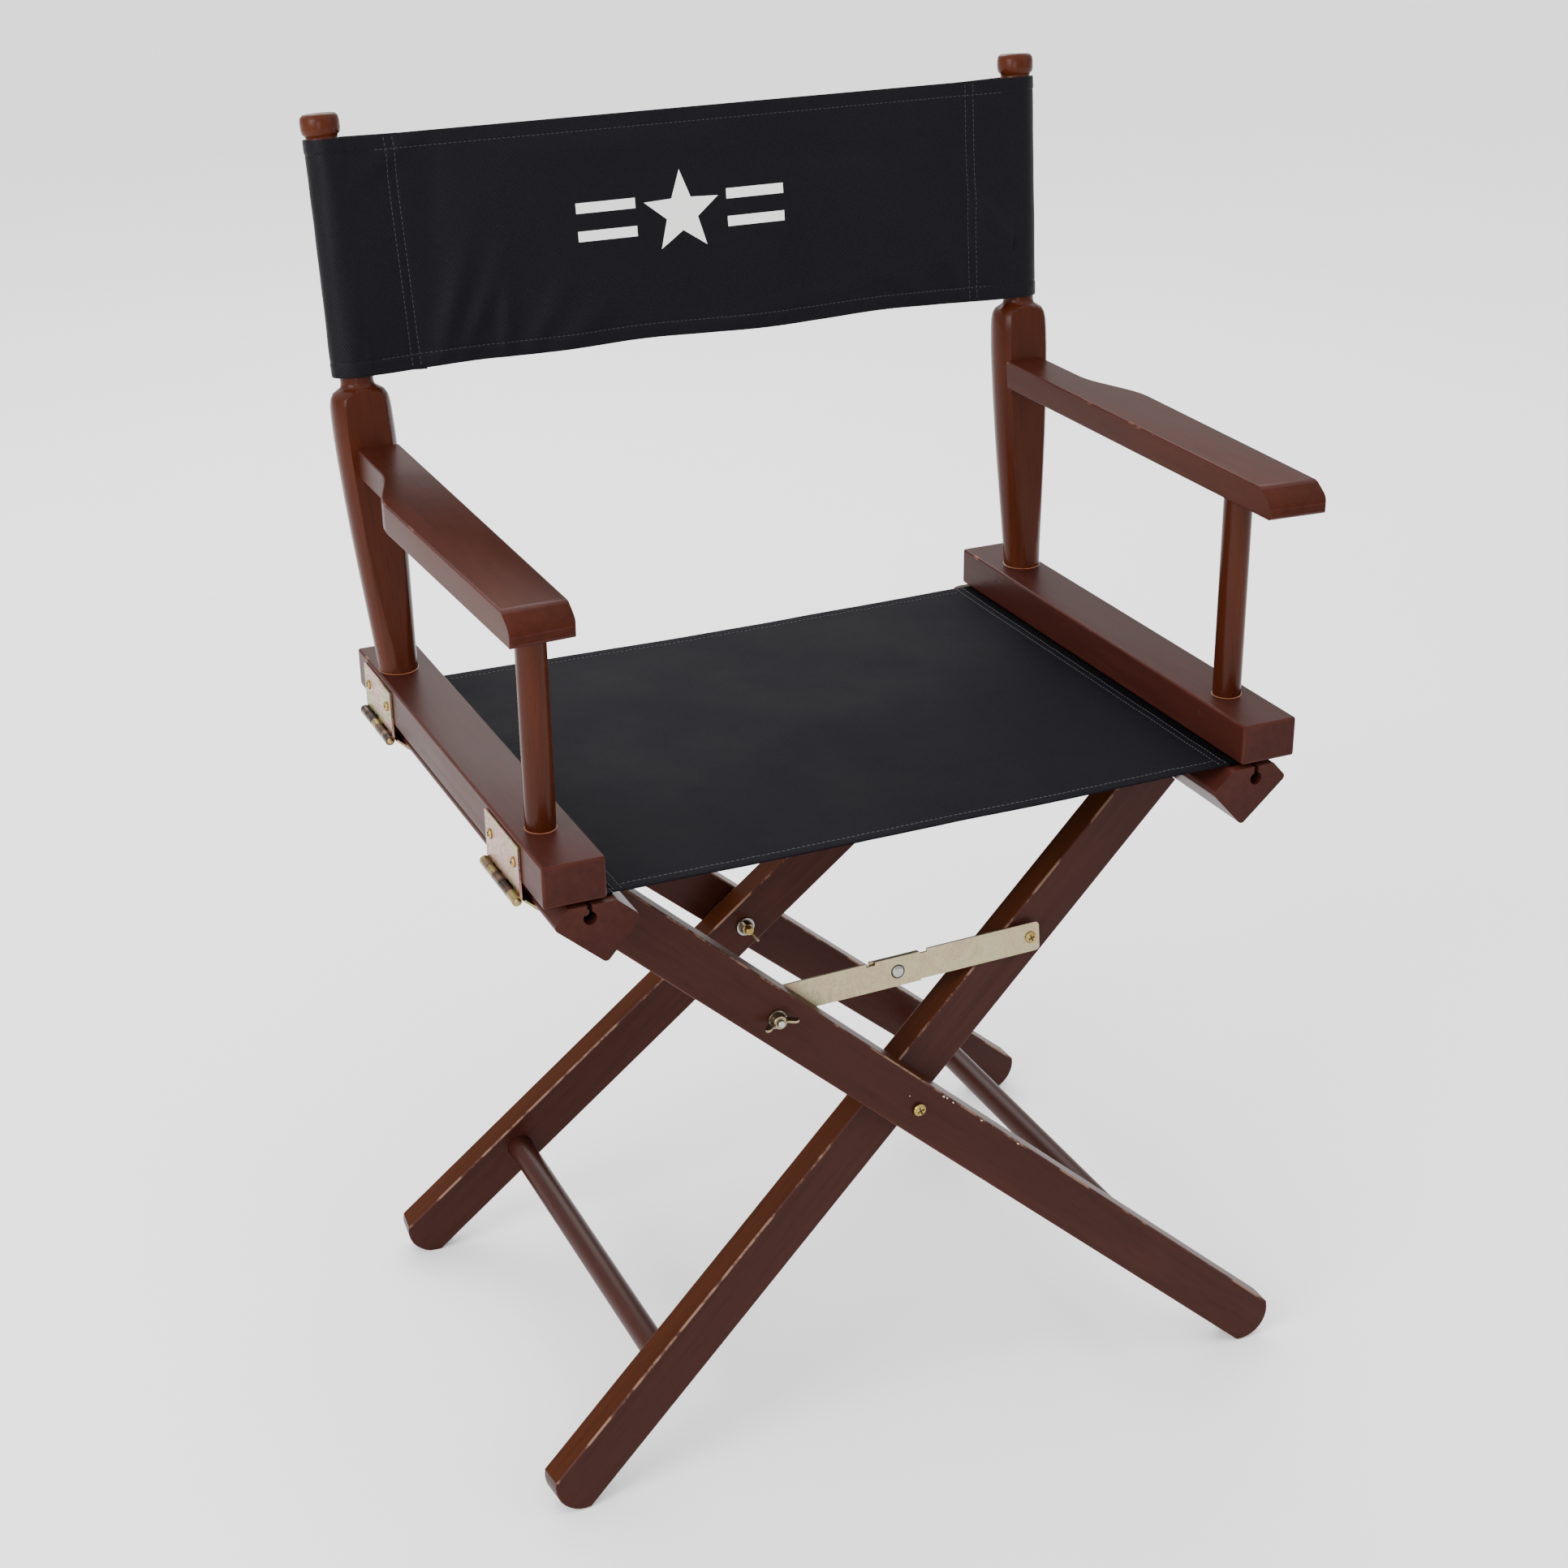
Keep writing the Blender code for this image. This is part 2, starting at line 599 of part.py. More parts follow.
def back_half(name, side, body):
    """One sleeve round its post, and the cloth from there to the middle of the chair."""
    upright_share = 1.0 / hypot(1.0, POST_LEAN, POST_SPLAY)
    middle_height = sum(BACK_H) / 2
    reach = POST_X + POST_SPLAY * middle_height * upright_share
    seam = -(reach - SLEEVE_SEAM_X)
    depth = BACK_CLOTH / 2
    sleeve, front, back = drop_loop((seam, -BACK_CLOTH_OFFSET), SLEEVE_OUTER, depth)
    outline = sleeve + [tuple(back), (-reach, back.y), (-reach, front.y), tuple(front)]
    hollow, hollow_front, hollow_back = drop_loop((seam + 0.004, -BACK_CLOTH_OFFSET), SLEEVE_INNER, 0.0002)
    bore = hollow + [tuple(hollow_back), tuple(hollow_front)]
    loops = [[(side * x, y) for x, y in loop] for loop in (outline, bore)]
    made = plate(name, loops, BACK_H[1] - BACK_H[0])
    for vertex in made.data.vertices:
        x, y, z = vertex.co
        height = (middle_height + z) * upright_share - POST_LEAN * y
        post = POST_X + POST_SPLAY * height
        inward = max(-side * x / reach, 0.0)
        outward = max(side * x, 0.0)
        distance = post * (1.0 - inward) + inward * CLEAR / 2 + outward
        vertex.co = (side * distance, POST_Y + POST_LEAN * height + y, UPPER_RAIL_Z[1] + height)
    return part(made, body, CANVAS)


def build_canvas(side, word, panel_body, frame_body, back_body):
    low, high = SEAT_LAYER_Z
    x = sorted((side * CLEAR / 2, side * lower_rail_shape()[2][0]))
    part(block(f"seat_canvas_{word}", (x[0], SEAT_Y[0], low), (x[1], SEAT_Y[1], high)), panel_body, CANVAS)
    seat_hem(f"seat_hem_{word}", side, frame_body)
    inset = 0.0020
    seat_rod = along_y(f"seat_rod_{word}", side * KEYHOLE_X, KEYHOLE_Z, SEAT_Y[0] + inset, SEAT_Y[1] - inset,
                       HEM_ROD, 12)
    part(seat_rod, frame_body, WOOD)
    back_half(f"back_canvas_{word}", side, back_body)


# ---------------------------------------------------------------- bolts, nuts and washers


def facing(direction, point):
    """Local Z along a direction, at a point."""
    turn = Vector(direction).to_track_quat("Z", "X").to_matrix().to_4x4()
    return Matrix.Translation(point) @ turn


def pan_head(name, matrix, head_radius, height, shank, length, body):
    """A cross-recessed pan head on a shank. Local Z 0 is under the head and the shank points down."""
    profile = [(0.0, height), (head_radius * 0.55, height * 0.96), (head_radius * 0.85, height * 0.75),
               (head_radius, height * 0.35), (head_radius, 0.0), (shank, 0.0), (shank, -length + 0.0006),
               (shank - 0.0006, -length), (0.0, -length)]
    made = turned(name, profile, 24)
    part(made, body, STEEL, matrix)
    wide = head_radius * 0.55
    for index in range(2):
        slot = block(f"{name}_recess_{index}", (-wide, -0.0005, height * 0.4), (wide, 0.0005, height + 0.002))
        cut(made, cutter(slot, matrix @ Matrix.Rotation(radians(20 + 90 * index), 4, "Z")))
    return made


def washer(name, matrix, outer, inner, thickness, body):
    """A flat ring whose underside is at local Z 0."""
    made = plate(name, [circle(0, 0, outer, 24), circle(0, 0, inner, 20)], thickness)
    return part(made, body, STEEL, matrix @ Matrix.Translation((0.0, 0.0, thickness / 2)))


def wing_nut(name, matrix, bore, body, turn):
    """A tapered boss with two upswept wings, standing on local Z 0."""
    boss = turned(name, [(0.0, NUT_HEIGHT), (0.0042, NUT_HEIGHT), (0.0046, NUT_HEIGHT - 0.0004),
                         (0.0056, 0.0004), (0.0054, 0.0), (0.0, 0.0)], 20)
    placed = matrix @ Matrix.Rotation(turn, 4, "Z")
    part(boss, body, ZINC, placed)
    for wing_side, word in ((1, "a"), (-1, "b")):
        corners = rounded([(0.0025, 0.0008, 0.0), (0.0060, 0.0010, 0.0010), (0.0128, 0.0075, 0.0026),
                           (0.0098, 0.0108, 0.0022), (0.0030, 0.0046, 0.0)], 3)
        wing = plate(f"{name}_wing_{word}", [[(wing_side * x, z) for x, z in corners]], 0.0016)
        cut(boss, cutter(wing, placed @ FRONT_VIEW), "UNION")
    cut(boss, cutter(rod(f"{name}_bore", (0, 0, -0.002), (0, 0, 0.012), bore, 16), placed))
    return boss


def build_pivot(end, word, nut_body):
    """Bolt head outside, spacer between the legs, washer and wing nut inside."""
    inner_face = LEG_OUT_Y - 2 * LEG_THICK - LEG_GAP
    outward, inward = (0, end, 0), (0, -end, 0)
    head_y = LEG_OUT_Y + LEG_FLARE * PIVOT_HEAD + CLEAR
    washer_y = inner_face - LEG_FLARE * PIVOT_WASHER - CLEAR
    nut_y = washer_y - WASHER_THICK - CLEAR
    length = head_y - (nut_y - NUT_HEIGHT - 0.0035)
    pan_head(f"pivot_bolt_{word}", facing(outward, (0, end * head_y, PIVOT_Z)), PIVOT_HEAD, 0.0026,
             BOLT_RADIUS, length, OUTER_FRAME)
    spacer_y = LEG_OUT_Y - LEG_THICK - (LEG_GAP + SPACER_THICK) / 2
    washer(f"pivot_spacer_{word}", facing(outward, (0, end * spacer_y, PIVOT_Z)), PIVOT_WASHER, BOLT_HOLE,
           SPACER_THICK, OUTER_FRAME)
    washer(f"pivot_washer_{word}", facing(inward, (0, end * washer_y, PIVOT_Z)), PIVOT_WASHER, BOLT_HOLE,
           WASHER_THICK, OUTER_FRAME)
    wing_nut(f"wing_nut_{word}", facing(inward, (0, end * nut_y, PIVOT_Z)), BOLT_RADIUS + CLEAR, nut_body,
             radians(35))


# ---------------------------------------------------------------- locking stay


def stay_left_point():
    """Where the stay's bolt passes the front of the left bar."""
    point = leg_point(1, -1, 0.0, STAY_LEFT_U, 0.0)
    return Vector((point.x, STAY_FRONT_Y, point.z))


def stay_matrix():
    """Local X runs along the stay from its left pivot, and local Z forwards through its thickness."""
    start = stay_left_point()
    stop = leg_point(-1, -1, 0.0, STAY_RIGHT_U, 0.0)
    normal = Vector(STAY_NORMAL).normalized()
    along = Vector((stop.x - start.x, 0.0, stop.z - start.z))
    along -= normal * along.dot(normal)
    return axes(along, along.cross(normal), start)


def stay_length():
    start = stay_left_point()
    stop = leg_point(-1, -1, 0.0, STAY_RIGHT_U, 0.0)
    return hypot(stop.x - start.x, stop.z - start.z)


def stay_rivet_x():
    """The rivet's distance from the left pivot, along the stay."""
    return stay_length() * (STAY_RIVET_X - stay_left_point().x) / (
        leg_point(-1, -1, 0.0, STAY_RIGHT_U, 0.0).x - stay_left_point().x)


def stay_bar(name, start, end, radii, front_z, holes, notch, body):
    """One flat steel bar with a notch in its upper edge."""
    half, notch_half, notch_deep = STAY_HALF_WIDTH, 0.0033, 0.0022
    corners = [(start, -half, radii[0]), (end, -half, radii[1]), (end, half, radii[1]),
               (notch + notch_half, half, 0.0), (notch + notch_half, half - notch_deep, 0.0),
               (notch - notch_half, half - notch_deep, 0.0), (notch - notch_half, half, 0.0),
               (start, half, radii[0])]
    loops = [rounded(corners, 6)] + [circle(x, 0.0, radius, 16) for x, radius in holes]
    made = plate(name, loops, STAY_THICK)
    middle = Matrix.Translation((0.0, 0.0, front_z - STAY_THICK / 2))
    return part(made, body, ZINC, stay_matrix() @ middle)


def build_stay():
    """Two flat bars riveted together, bolted to the outer front leg and screwed to the inner one."""
    length, rivet_x, matrix = stay_length(), stay_rivet_x(), stay_matrix()
    rear_layer = -STAY_THICK - STAY_LAYER_GAP
    stay_bar("stay_bar_left", -STAY_HALF_WIDTH, rivet_x + STAY_TAIL, (0.0098, 0.0008), 0.0,
             [(0.0, STAY_BOLT_RADIUS + CLEAR), (rivet_x, STAY_RIVET_RADIUS + CLEAR)],
             rivet_x - STAY_NOTCH, STAY_LEFT)
    stay_bar("stay_bar_right", rivet_x - STAY_OVERLAP, length + 0.0066, (0.0008, 0.0030), rear_layer,
             [(rivet_x, STAY_RIVET_RADIUS + CLEAR), (length, STAY_SCREW_RADIUS + CLEAR)],
             rivet_x + STAY_NOTCH, STAY_RIGHT)
    stack = 2 * STAY_THICK + STAY_LAYER_GAP
    rivet = turned("stay_rivet", [
        (0.0, 0.0011), (0.0024, 0.0010), (0.0038, 0.0006), (0.0042, 0.0002), (STAY_RIVET_RADIUS, 0.0002),
        (STAY_RIVET_RADIUS, -stack - 0.0002), (0.0036, -stack - 0.0002), (0.0034, -stack - 0.0005),
        (0.0, -stack - 0.0005)], 20)
    part(rivet, STAY_LEFT, STEEL, matrix @ Matrix.Translation((rivet_x, 0.0, 0.0)))
    screw_at = matrix @ Matrix.Translation((length, 0.0, rear_layer + CLEAR))
    pan_head("stay_screw", screw_at, 0.0042, 0.0014, STAY_SCREW_RADIUS, STAY_THICK + 2 * CLEAR, STAY_RIGHT)
    build_stay_bolt()


def build_stay_bolt():
    """The bolt through the outer front leg: head behind the bar, washer and wing nut in front."""
    axis = Vector(STAY_BOLT_AXIS).normalized()
    start = stay_left_point()
    tilt_room = 0.0004
    head_at = start + axis * (STAY_THICK + tilt_room)
    through = STAY_FRONT_Y + LEG_OUT_Y + LEG_FLARE * STAY_LEFT_U
    washer_at = start - axis * (through + tilt_room)
    nut_at = washer_at - axis * (WASHER_THICK + CLEAR)
    length = (head_at - nut_at).length + NUT_HEIGHT + 0.0030
    pan_head("stay_bolt", facing(axis, head_at), 0.0048, 0.0015, STAY_BOLT_RADIUS, length, OUTER_FRAME)
    washer("stay_washer", facing(-axis, washer_at), 0.0064, STAY_BOLT_RADIUS + CLEAR, WASHER_THICK, OUTER_FRAME)
    wing_nut("wing_nut_stay", facing(-axis, nut_at), STAY_BOLT_RADIUS + CLEAR, STAY_NUT, radians(98))


# ---------------------------------------------------------------- the whole chair

clear_scene()
PARTS = new_collection("director_chair")
CUTTERS = new_collection("cutters")
CHAIR = empty("chair", (0.0, SHIFT_Y, 0.0))

pin_x, pin_z = hinge_centre()
seat_x, back_height = lower_rail_shape()[2][0], sum(BACK_H) / 2
back_at = (0.0, POST_Y + POST_LEAN * back_height - BACK_CLOTH_OFFSET, UPPER_RAIL_Z[1] + back_height)
rivet_at = stay_matrix() @ Vector((stay_rivet_x(), 0.0, 0.0))
stay_nut_at = stay_left_point() - Vector(STAY_BOLT_AXIS).normalized() * 0.0250

OUTER_FRAME = empty("outer_frame", (0.0, 0.0, 0.0), CHAIR)
INNER_FRAME = empty("inner_frame", (0.0, 0.0, PIVOT_Z), CHAIR)
LEFT_SIDE = empty("left_side", (-pin_x, 0.0, pin_z), CHAIR)
RIGHT_SIDE = empty("right_side", (pin_x, 0.0, pin_z), CHAIR)
STAY_LEFT = empty("stay_left", stay_left_point(), CHAIR)
STAY_RIGHT = empty("stay_right", rivet_at, CHAIR)
FRONT_NUT = empty("front_nut_axis", (0.0, -LEG_OUT_Y, PIVOT_Z), CHAIR)
REAR_NUT = empty("rear_nut_axis", (0.0, LEG_OUT_Y, PIVOT_Z), CHAIR)
STAY_NUT = empty("stay_nut_axis", stay_nut_at, CHAIR)
SEAT_LEFT = empty("seat_left_axis", (-seat_x, 0.0, SEAT_LAYER_Z[0]), CHAIR)
SEAT_RIGHT = empty("seat_right_axis", (0.0, 0.0, SEAT_LAYER_Z[0]), CHAIR)
BACK_LEFT = empty("back_left_axis", post_matrix(-1).translation, CHAIR)
BACK_RIGHT = empty("back_right_axis", back_at, CHAIR)

FLOOR = cutter(block("floor", (-0.5, -0.5, -0.1), (0.5, 0.5, 0.0)))
RAIL_TOP = cutter(block("rail_top", (-0.3, 0.1, 0.4), (0.3, 0.2, UPPER_RAIL_Z[1] + CLEAR)))
PIVOT_HOLE = cutter(along_y("pivot_hole", 0.0, PIVOT_Z, -0.25, 0.25, BOLT_HOLE))
bolt_axis = Vector(STAY_BOLT_AXIS).normalized()
bolt_hole = rod("stay_bolt_hole", stay_left_point() + bolt_axis * 0.01, stay_left_point() - bolt_axis * 0.05,
                STAY_BOLT_RADIUS + 2 * CLEAR, 16)
screw_point = leg_point(-1, -1, 0.0, STAY_RIGHT_U, layer_of(-1))
screw_hole = along_y("stay_screw_hole", screw_point.x, screw_point.z, screw_point.y - 0.004,
                     screw_point.y + 0.014, STAY_SCREW_RADIUS, 12)
STAY_HOLES = {1: cutter(bolt_hole), -1: cutter(screw_hole)}

build_leg_frame(1, "outer", "lower_rail_left", "stretcher_right", OUTER_FRAME)
build_leg_frame(-1, "inner", "lower_rail_right", "stretcher_left", INNER_FRAME)
build_side(-1, "left", LEFT_SIDE)
build_side(1, "right", RIGHT_SIDE)
for place_word, hinge_y in zip(("rear", "front"), HINGE_Y):
    hinge(f"hinge_left_{place_word}", -1, hinge_y, OUTER_FRAME, LEFT_SIDE)
    hinge(f"hinge_right_{place_word}", 1, hinge_y, INNER_FRAME, RIGHT_SIDE)
build_canvas(-1, "left", SEAT_LEFT, OUTER_FRAME, BACK_LEFT)
build_canvas(1, "right", SEAT_RIGHT, INNER_FRAME, BACK_RIGHT)
build_pivot(-1, "front", FRONT_NUT)
build_pivot(1, "rear", REAR_NUT)
build_stay()
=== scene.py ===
"""The looks of a folding director chair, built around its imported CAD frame.

Metres, +Z up. The chair faces -Y and +X is its right-hand side as seen from the front.
"""

from math import acos, atan2, cos, exp, hypot, pi, radians, sin

import bmesh
import bpy
from mathutils import Matrix, Vector, noise


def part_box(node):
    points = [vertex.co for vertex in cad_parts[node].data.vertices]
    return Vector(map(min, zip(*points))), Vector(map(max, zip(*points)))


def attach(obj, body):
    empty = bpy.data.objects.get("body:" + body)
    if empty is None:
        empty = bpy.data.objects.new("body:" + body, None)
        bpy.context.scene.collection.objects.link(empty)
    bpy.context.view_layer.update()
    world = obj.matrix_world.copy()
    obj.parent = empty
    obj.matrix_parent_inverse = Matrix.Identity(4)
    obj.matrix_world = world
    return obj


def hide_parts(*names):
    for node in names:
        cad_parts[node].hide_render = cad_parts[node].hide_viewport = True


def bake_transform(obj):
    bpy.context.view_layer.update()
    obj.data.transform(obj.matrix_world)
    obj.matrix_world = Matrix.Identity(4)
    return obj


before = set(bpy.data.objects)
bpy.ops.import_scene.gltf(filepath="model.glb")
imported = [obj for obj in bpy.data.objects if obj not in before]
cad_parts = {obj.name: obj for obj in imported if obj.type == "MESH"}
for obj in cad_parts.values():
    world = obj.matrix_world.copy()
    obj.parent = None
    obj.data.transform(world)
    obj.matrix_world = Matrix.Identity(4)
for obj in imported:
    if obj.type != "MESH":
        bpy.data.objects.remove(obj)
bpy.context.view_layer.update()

# Leg frames: the crossing's height, the legs' slope and flare, and how far forward the front face is there
PIVOT_Z = 0.2419
LEG_ANGLE = radians(41.6)
LEG_FLARE = 0.0966
LEG_OUT_Y = 0.1705

# Upper rails and what stands on them
RAIL_TOP = 0.4874
DOWEL_GLUE_RADIUS, POST_GLUE_RADIUS = 0.0097, 0.0136
NAIL_Y, NAIL_Z = 0.143, 0.478

# Back posts and the back canvas
POST_X, POST_Y = 0.2464, 0.1477
POST_LEAN = 0.0498 / 0.3726
POST_SPLAY = 0.0113 / 0.3726
UPRIGHT_SHARE = 1.0 / hypot(1.0, POST_LEAN, POST_SPLAY)
BACK_LOW, BACK_HIGH = 0.2040, 0.3597
BACK_DEPTH = -0.0060
SLEEVE_RADIUS = 0.0123
BACK_SEAMS = (0.2165, 0.2105)
BACK_FLAP_END = 0.2060
BACK_HEM = 0.0100
BACK_CLOTH = 0.0008
PRINT_THICKNESS = 0.00022
SLEEVE_SLACK = 0.0035
HEM_WAVE = 0.0016

# Seat canvas
SEAT_HALF_X = 0.2158
SEAT_TOP = 0.4598
SEAT_SAG = 0.0012
SEAT_CLOTH = 0.0011
SEAT_SEAMS = (0.2150, 0.2098)
SEAT_HEM = 0.0085

STAY_NORMAL = Vector((0.0116, 1.0, -0.0656)).normalized()

# Hinges, whose knuckles lie within a short reach of the pin's axis
PIN_X, PIN_Z = 0.2656, 0.4491
KNUCKLE_REACH = 0.0036
LEAF_FACE = 0.0019
HINGE_SCREW_Y = 0.022
UPPER_SCREW_Z = 0.471
LOWER_SCREW_REACH = 0.0175
HINGE_SCREW_HEAD = (0.0034, 0.0017)

STITCH_PITCH = 0.0034
STITCH_LENGTH = 0.0026
STITCH_HALF_WIDTH, STITCH_RISE, STITCH_SINK = 0.00032, 0.00022, 0.0001

# The wave texture repeats about this often in its own coordinates
WAVE_PERIOD = 0.32

# How many sides a screw head and a chip have
HEAD_SIDES = 24
CHIP_SIDES = 9

# The middle of the chair's depth
mid_y = (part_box("upper_rail_left")[0][1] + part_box("upper_rail_left")[1][1]) / 2


# ---------------------------------------------------------------- node-tree helpers


def new_material(name):
    made = bpy.data.materials.new(name)
    made.use_nodes = True
    return made, made.node_tree, made.node_tree.nodes["Principled BSDF"]


def add(tree, kind, **values):
    """A shader node with its properties and its unlinked inputs set."""
    node = tree.nodes.new(kind)
    for key, value in values.items():
        if hasattr(node, key):
            setattr(node, key, value)
        else:
            node.inputs[key.replace("_", " ").title()].default_value = value
    return node


def mapped(tree, source, scale, rotation=(0, 0, 0)):
    """Texture coordinates from an output of a coordinate node, scaled and turned."""
    node = tree.nodes.new("ShaderNodeMapping")
    node.inputs["Scale"].default_value = scale
    node.inputs["Rotation"].default_value = rotation
    tree.links.new(source, node.inputs["Vector"])
    return node.outputs["Vector"]


def noise_tex(tree, vector, scale, detail=4.0, roughness=0.55, distortion=0.0):
    node = add(tree, "ShaderNodeTexNoise", scale=scale, detail=detail, roughness=roughness,
               distortion=distortion)
    tree.links.new(vector, node.inputs["Vector"])
    return node.outputs["Fac"]


def ramp(tree, source, stops):
    """A colour ramp through (position, colour) stops."""
    node = tree.nodes.new("ShaderNodeValToRGB")
    elements = node.color_ramp.elements
    while len(elements) < len(stops):
        elements.new(0.5)
    for element, (position, colour) in zip(elements, stops):
        element.position = position
        element.color = (*colour, 1.0)
    tree.links.new(source, node.inputs["Fac"])
    return node.outputs["Color"]


def grey(value):
    return (value, value, value)


def mix(tree, factor, first, second, blend="MIX"):
    """Mixes two colours; each input is an output socket or a plain value."""
    node = add(tree, "ShaderNodeMix", data_type="RGBA", blend_type=blend)
    for socket, value in ((node.inputs[0], factor), (node.inputs[6], first), (node.inputs[7], second)):
        if isinstance(value, bpy.types.NodeSocket):
            tree.links.new(value, socket)
        elif isinstance(value, (int, float)):
            socket.default_value = value
        else:
            socket.default_value = (*value, 1.0)
    return node.outputs[2]


def compute(tree, operation, first, second=None):
    """One step of arithmetic; each operand is an output socket or a number."""
    node = add(tree, "ShaderNodeMath", operation=operation)
    for socket, value in zip(node.inputs, (first, second)):
        if isinstance(value, bpy.types.NodeSocket):
            tree.links.new(value, socket)
        elif value is not None:
            socket.default_value = value
    return node.outputs[0]


def bump(tree, height, distance, strength, below=None):
    node = add(tree, "ShaderNodeBump", distance=distance, strength=strength)
    tree.links.new(height, node.inputs["Height"])
    if below is not None:
        tree.links.new(below, node.inputs["Normal"])
    return node.outputs["Normal"]


# ---------------------------------------------------------------- materials


def wood(name, dark, light, rub_and_highlight_share=0.0, bare_and_highlight_colour=(0.14, 0.055, 0.032), roughness=0.36, gloss=0.09):
    """Stained and varnished wood with its grain along local X.

    The rubbed share shows the lighter bare colour: worn wood, and on the leg edges that catch the light also
    a painted highlight. gloss is how strongly the varnish reflects.
    """
    made, tree, shader = new_material(name)
    place = tree.nodes.new("ShaderNodeTexCoord").outputs["Object"]
    patches = noise_tex(tree, mapped(tree, place, (4.0, 14.0, 14.0)), 1.0, 3.0)
    grain = noise_tex(tree, mapped(tree, place, (9.0, 190.0, 190.0)), 1.0, 6.0, 0.6, 0.4)
    pores = noise_tex(tree, mapped(tree, place, (55.0, 1500.0, 1500.0)), 1.0, 2.0, 0.5)
    broad = ramp(tree, patches, [(0.30, dark), (0.72, light)])
    lines = ramp(tree, grain, [(0.32, grey(0.84)), (0.52, grey(1.0)), (0.75, grey(1.10))])
    colour = mix(tree, 1.0, broad, lines, "MULTIPLY")
    specks = ramp(tree, pores, [(0.34, grey(0.7)), (0.43, grey(1.0))])
    colour = mix(tree, 0.6, colour, specks, "MULTIPLY")
    if rub_and_highlight_share > 0.0:
        rub_and_highlight_noise = noise_tex(tree, mapped(tree, place, (30.0, 30.0, 30.0)), 1.0, 5.0, 0.65)
        rub_and_highlight_mask = ramp(tree, rub_and_highlight_noise, [(0.97 - rub_and_highlight_share, grey(0.0)), (1.04 - rub_and_highlight_share, grey(1.0))])
        colour = mix(tree, rub_and_highlight_mask, colour, bare_and_highlight_colour)
    tree.links.new(colour, shader.inputs["Base Color"])
    rough = ramp(tree, patches, [(0.25, grey(roughness - 0.06)), (0.80, grey(roughness + 0.10))])
    tree.links.new(rough, shader.inputs["Roughness"])
    shader.inputs["Specular IOR Level"].default_value = gloss
    lined = bump(tree, grain, 0.0003, 0.12)
    tree.links.new(bump(tree, pores, 0.0002, 0.15, lined), shader.inputs["Normal"])
    return made


def zinc(name, tints, roughness, patch_scale):
    """Passivated zinc plate: faint colour bands, fine scratches and duller patches."""
    made, tree, shader = new_material(name)
    place = tree.nodes.new("ShaderNodeTexCoord").outputs["Object"]
    bands = noise_tex(tree, mapped(tree, place, (patch_scale,) * 3), 1.0, 5.0, 0.6, 1.2)
    stops = [(0.30 + 0.40 * i / (len(tints) - 1), tint) for i, tint in enumerate(tints)]
    colour = ramp(tree, bands, stops)
    marks = noise_tex(tree, mapped(tree, place, (900.0, 260.0, 420.0)), 1.0, 4.0, 0.7)
    colour = mix(tree, 0.5, colour, ramp(tree, marks, [(0.30, grey(0.55)), (0.50, grey(1.0))]), "MULTIPLY")
    tree.links.new(colour, shader.inputs["Base Color"])
    dull = ramp(tree, marks, [(0.35, grey(roughness + 0.22)), (0.60, grey(roughness))])
    tree.links.new(dull, shader.inputs["Roughness"])
    shader.inputs["Metallic"].default_value = 1.0
    tree.links.new(bump(tree, marks, 0.0002, 0.18), shader.inputs["Normal"])
    return made


def hinge_zinc_with_painted_reflections():
    """Yellow zinc that turns brown and pink by turns along the knuckles round the hinge pin, the knuckles'
    dark brown bands being painted reflections.
    """
    tints = [(0.22, 0.190, 0.068), (0.28, 0.25, 0.11), (0.36, 0.18, 0.165), (0.25, 0.235, 0.095)]
    made = zinc("yellow_zinc_painted_reflections", tints, 0.26, 42.0)
    tree = made.node_tree
    shader = tree.nodes["Principled BSDF"]
    plate = shader.inputs["Base Color"].links[0].from_socket
    place = tree.nodes.new("ShaderNodeTexCoord").outputs["Object"]
    split = tree.nodes.new("ShaderNodeSeparateXYZ")
    tree.links.new(place, split.inputs["Vector"])
    beside = compute(tree, "SUBTRACT", compute(tree, "ABSOLUTE", split.outputs["X"]), PIN_X)
    above = compute(tree, "SUBTRACT", split.outputs["Z"], PIN_Z)
    squares = compute(tree, "ADD", compute(tree, "MULTIPLY", beside, beside),
                      compute(tree, "MULTIPLY", above, above))
    reach = compute(tree, "SQRT", squares)
    near = compute(tree, "LESS_THAN", reach, KNUCKLE_REACH)
    # Painted reflections: bands from dark brown to yellow along the knuckles
    tint = ramp(tree, noise_tex(tree, mapped(tree, place, (8.0, 70.0, 8.0)), 1.0, 1.0),
                [(0.40, (0.035, 0.020, 0.012)), (0.50, (0.15, 0.080, 0.055)), (0.60, (0.26, 0.20, 0.075))])
    tree.links.new(mix(tree, near, plate, tint), shader.inputs["Base Color"])
    return made


def plain_metal(name, colour, roughness):
    """Bare or plated metal with faint fine marks."""
    made, tree, shader = new_material(name)
    place = tree.nodes.new("ShaderNodeTexCoord").outputs["Object"]
    marks = noise_tex(tree, mapped(tree, place, (1400.0,) * 3), 1.0, 3.0)
    tint = ramp(tree, marks, [(0.3, [c * 0.75 for c in colour]), (0.6, colour)])
    tree.links.new(tint, shader.inputs["Base Color"])
    dull = ramp(tree, marks, [(0.3, grey(roughness + 0.12)), (0.7, grey(roughness))])
    tree.links.new(dull, shader.inputs["Roughness"])
    shader.inputs["Metallic"].default_value = 1.0
    return made


def yarns(tree, place, pitch, turn, wobble, fineness):
    """The bands of yarns of one direction, with the cloth map turned by some degrees."""
    bands = add(tree, "ShaderNodeTexWave", wave_type="BANDS", bands_direction="X", scale=1.0,
                distortion=wobble, detail=2.0, detail_scale=fineness)
    across = mapped(tree, place, (WAVE_PERIOD / pitch,) * 3, (0, 0, radians(turn)))
    tree.links.new(across, bands.inputs["Vector"])
    return bands.outputs["Color"]


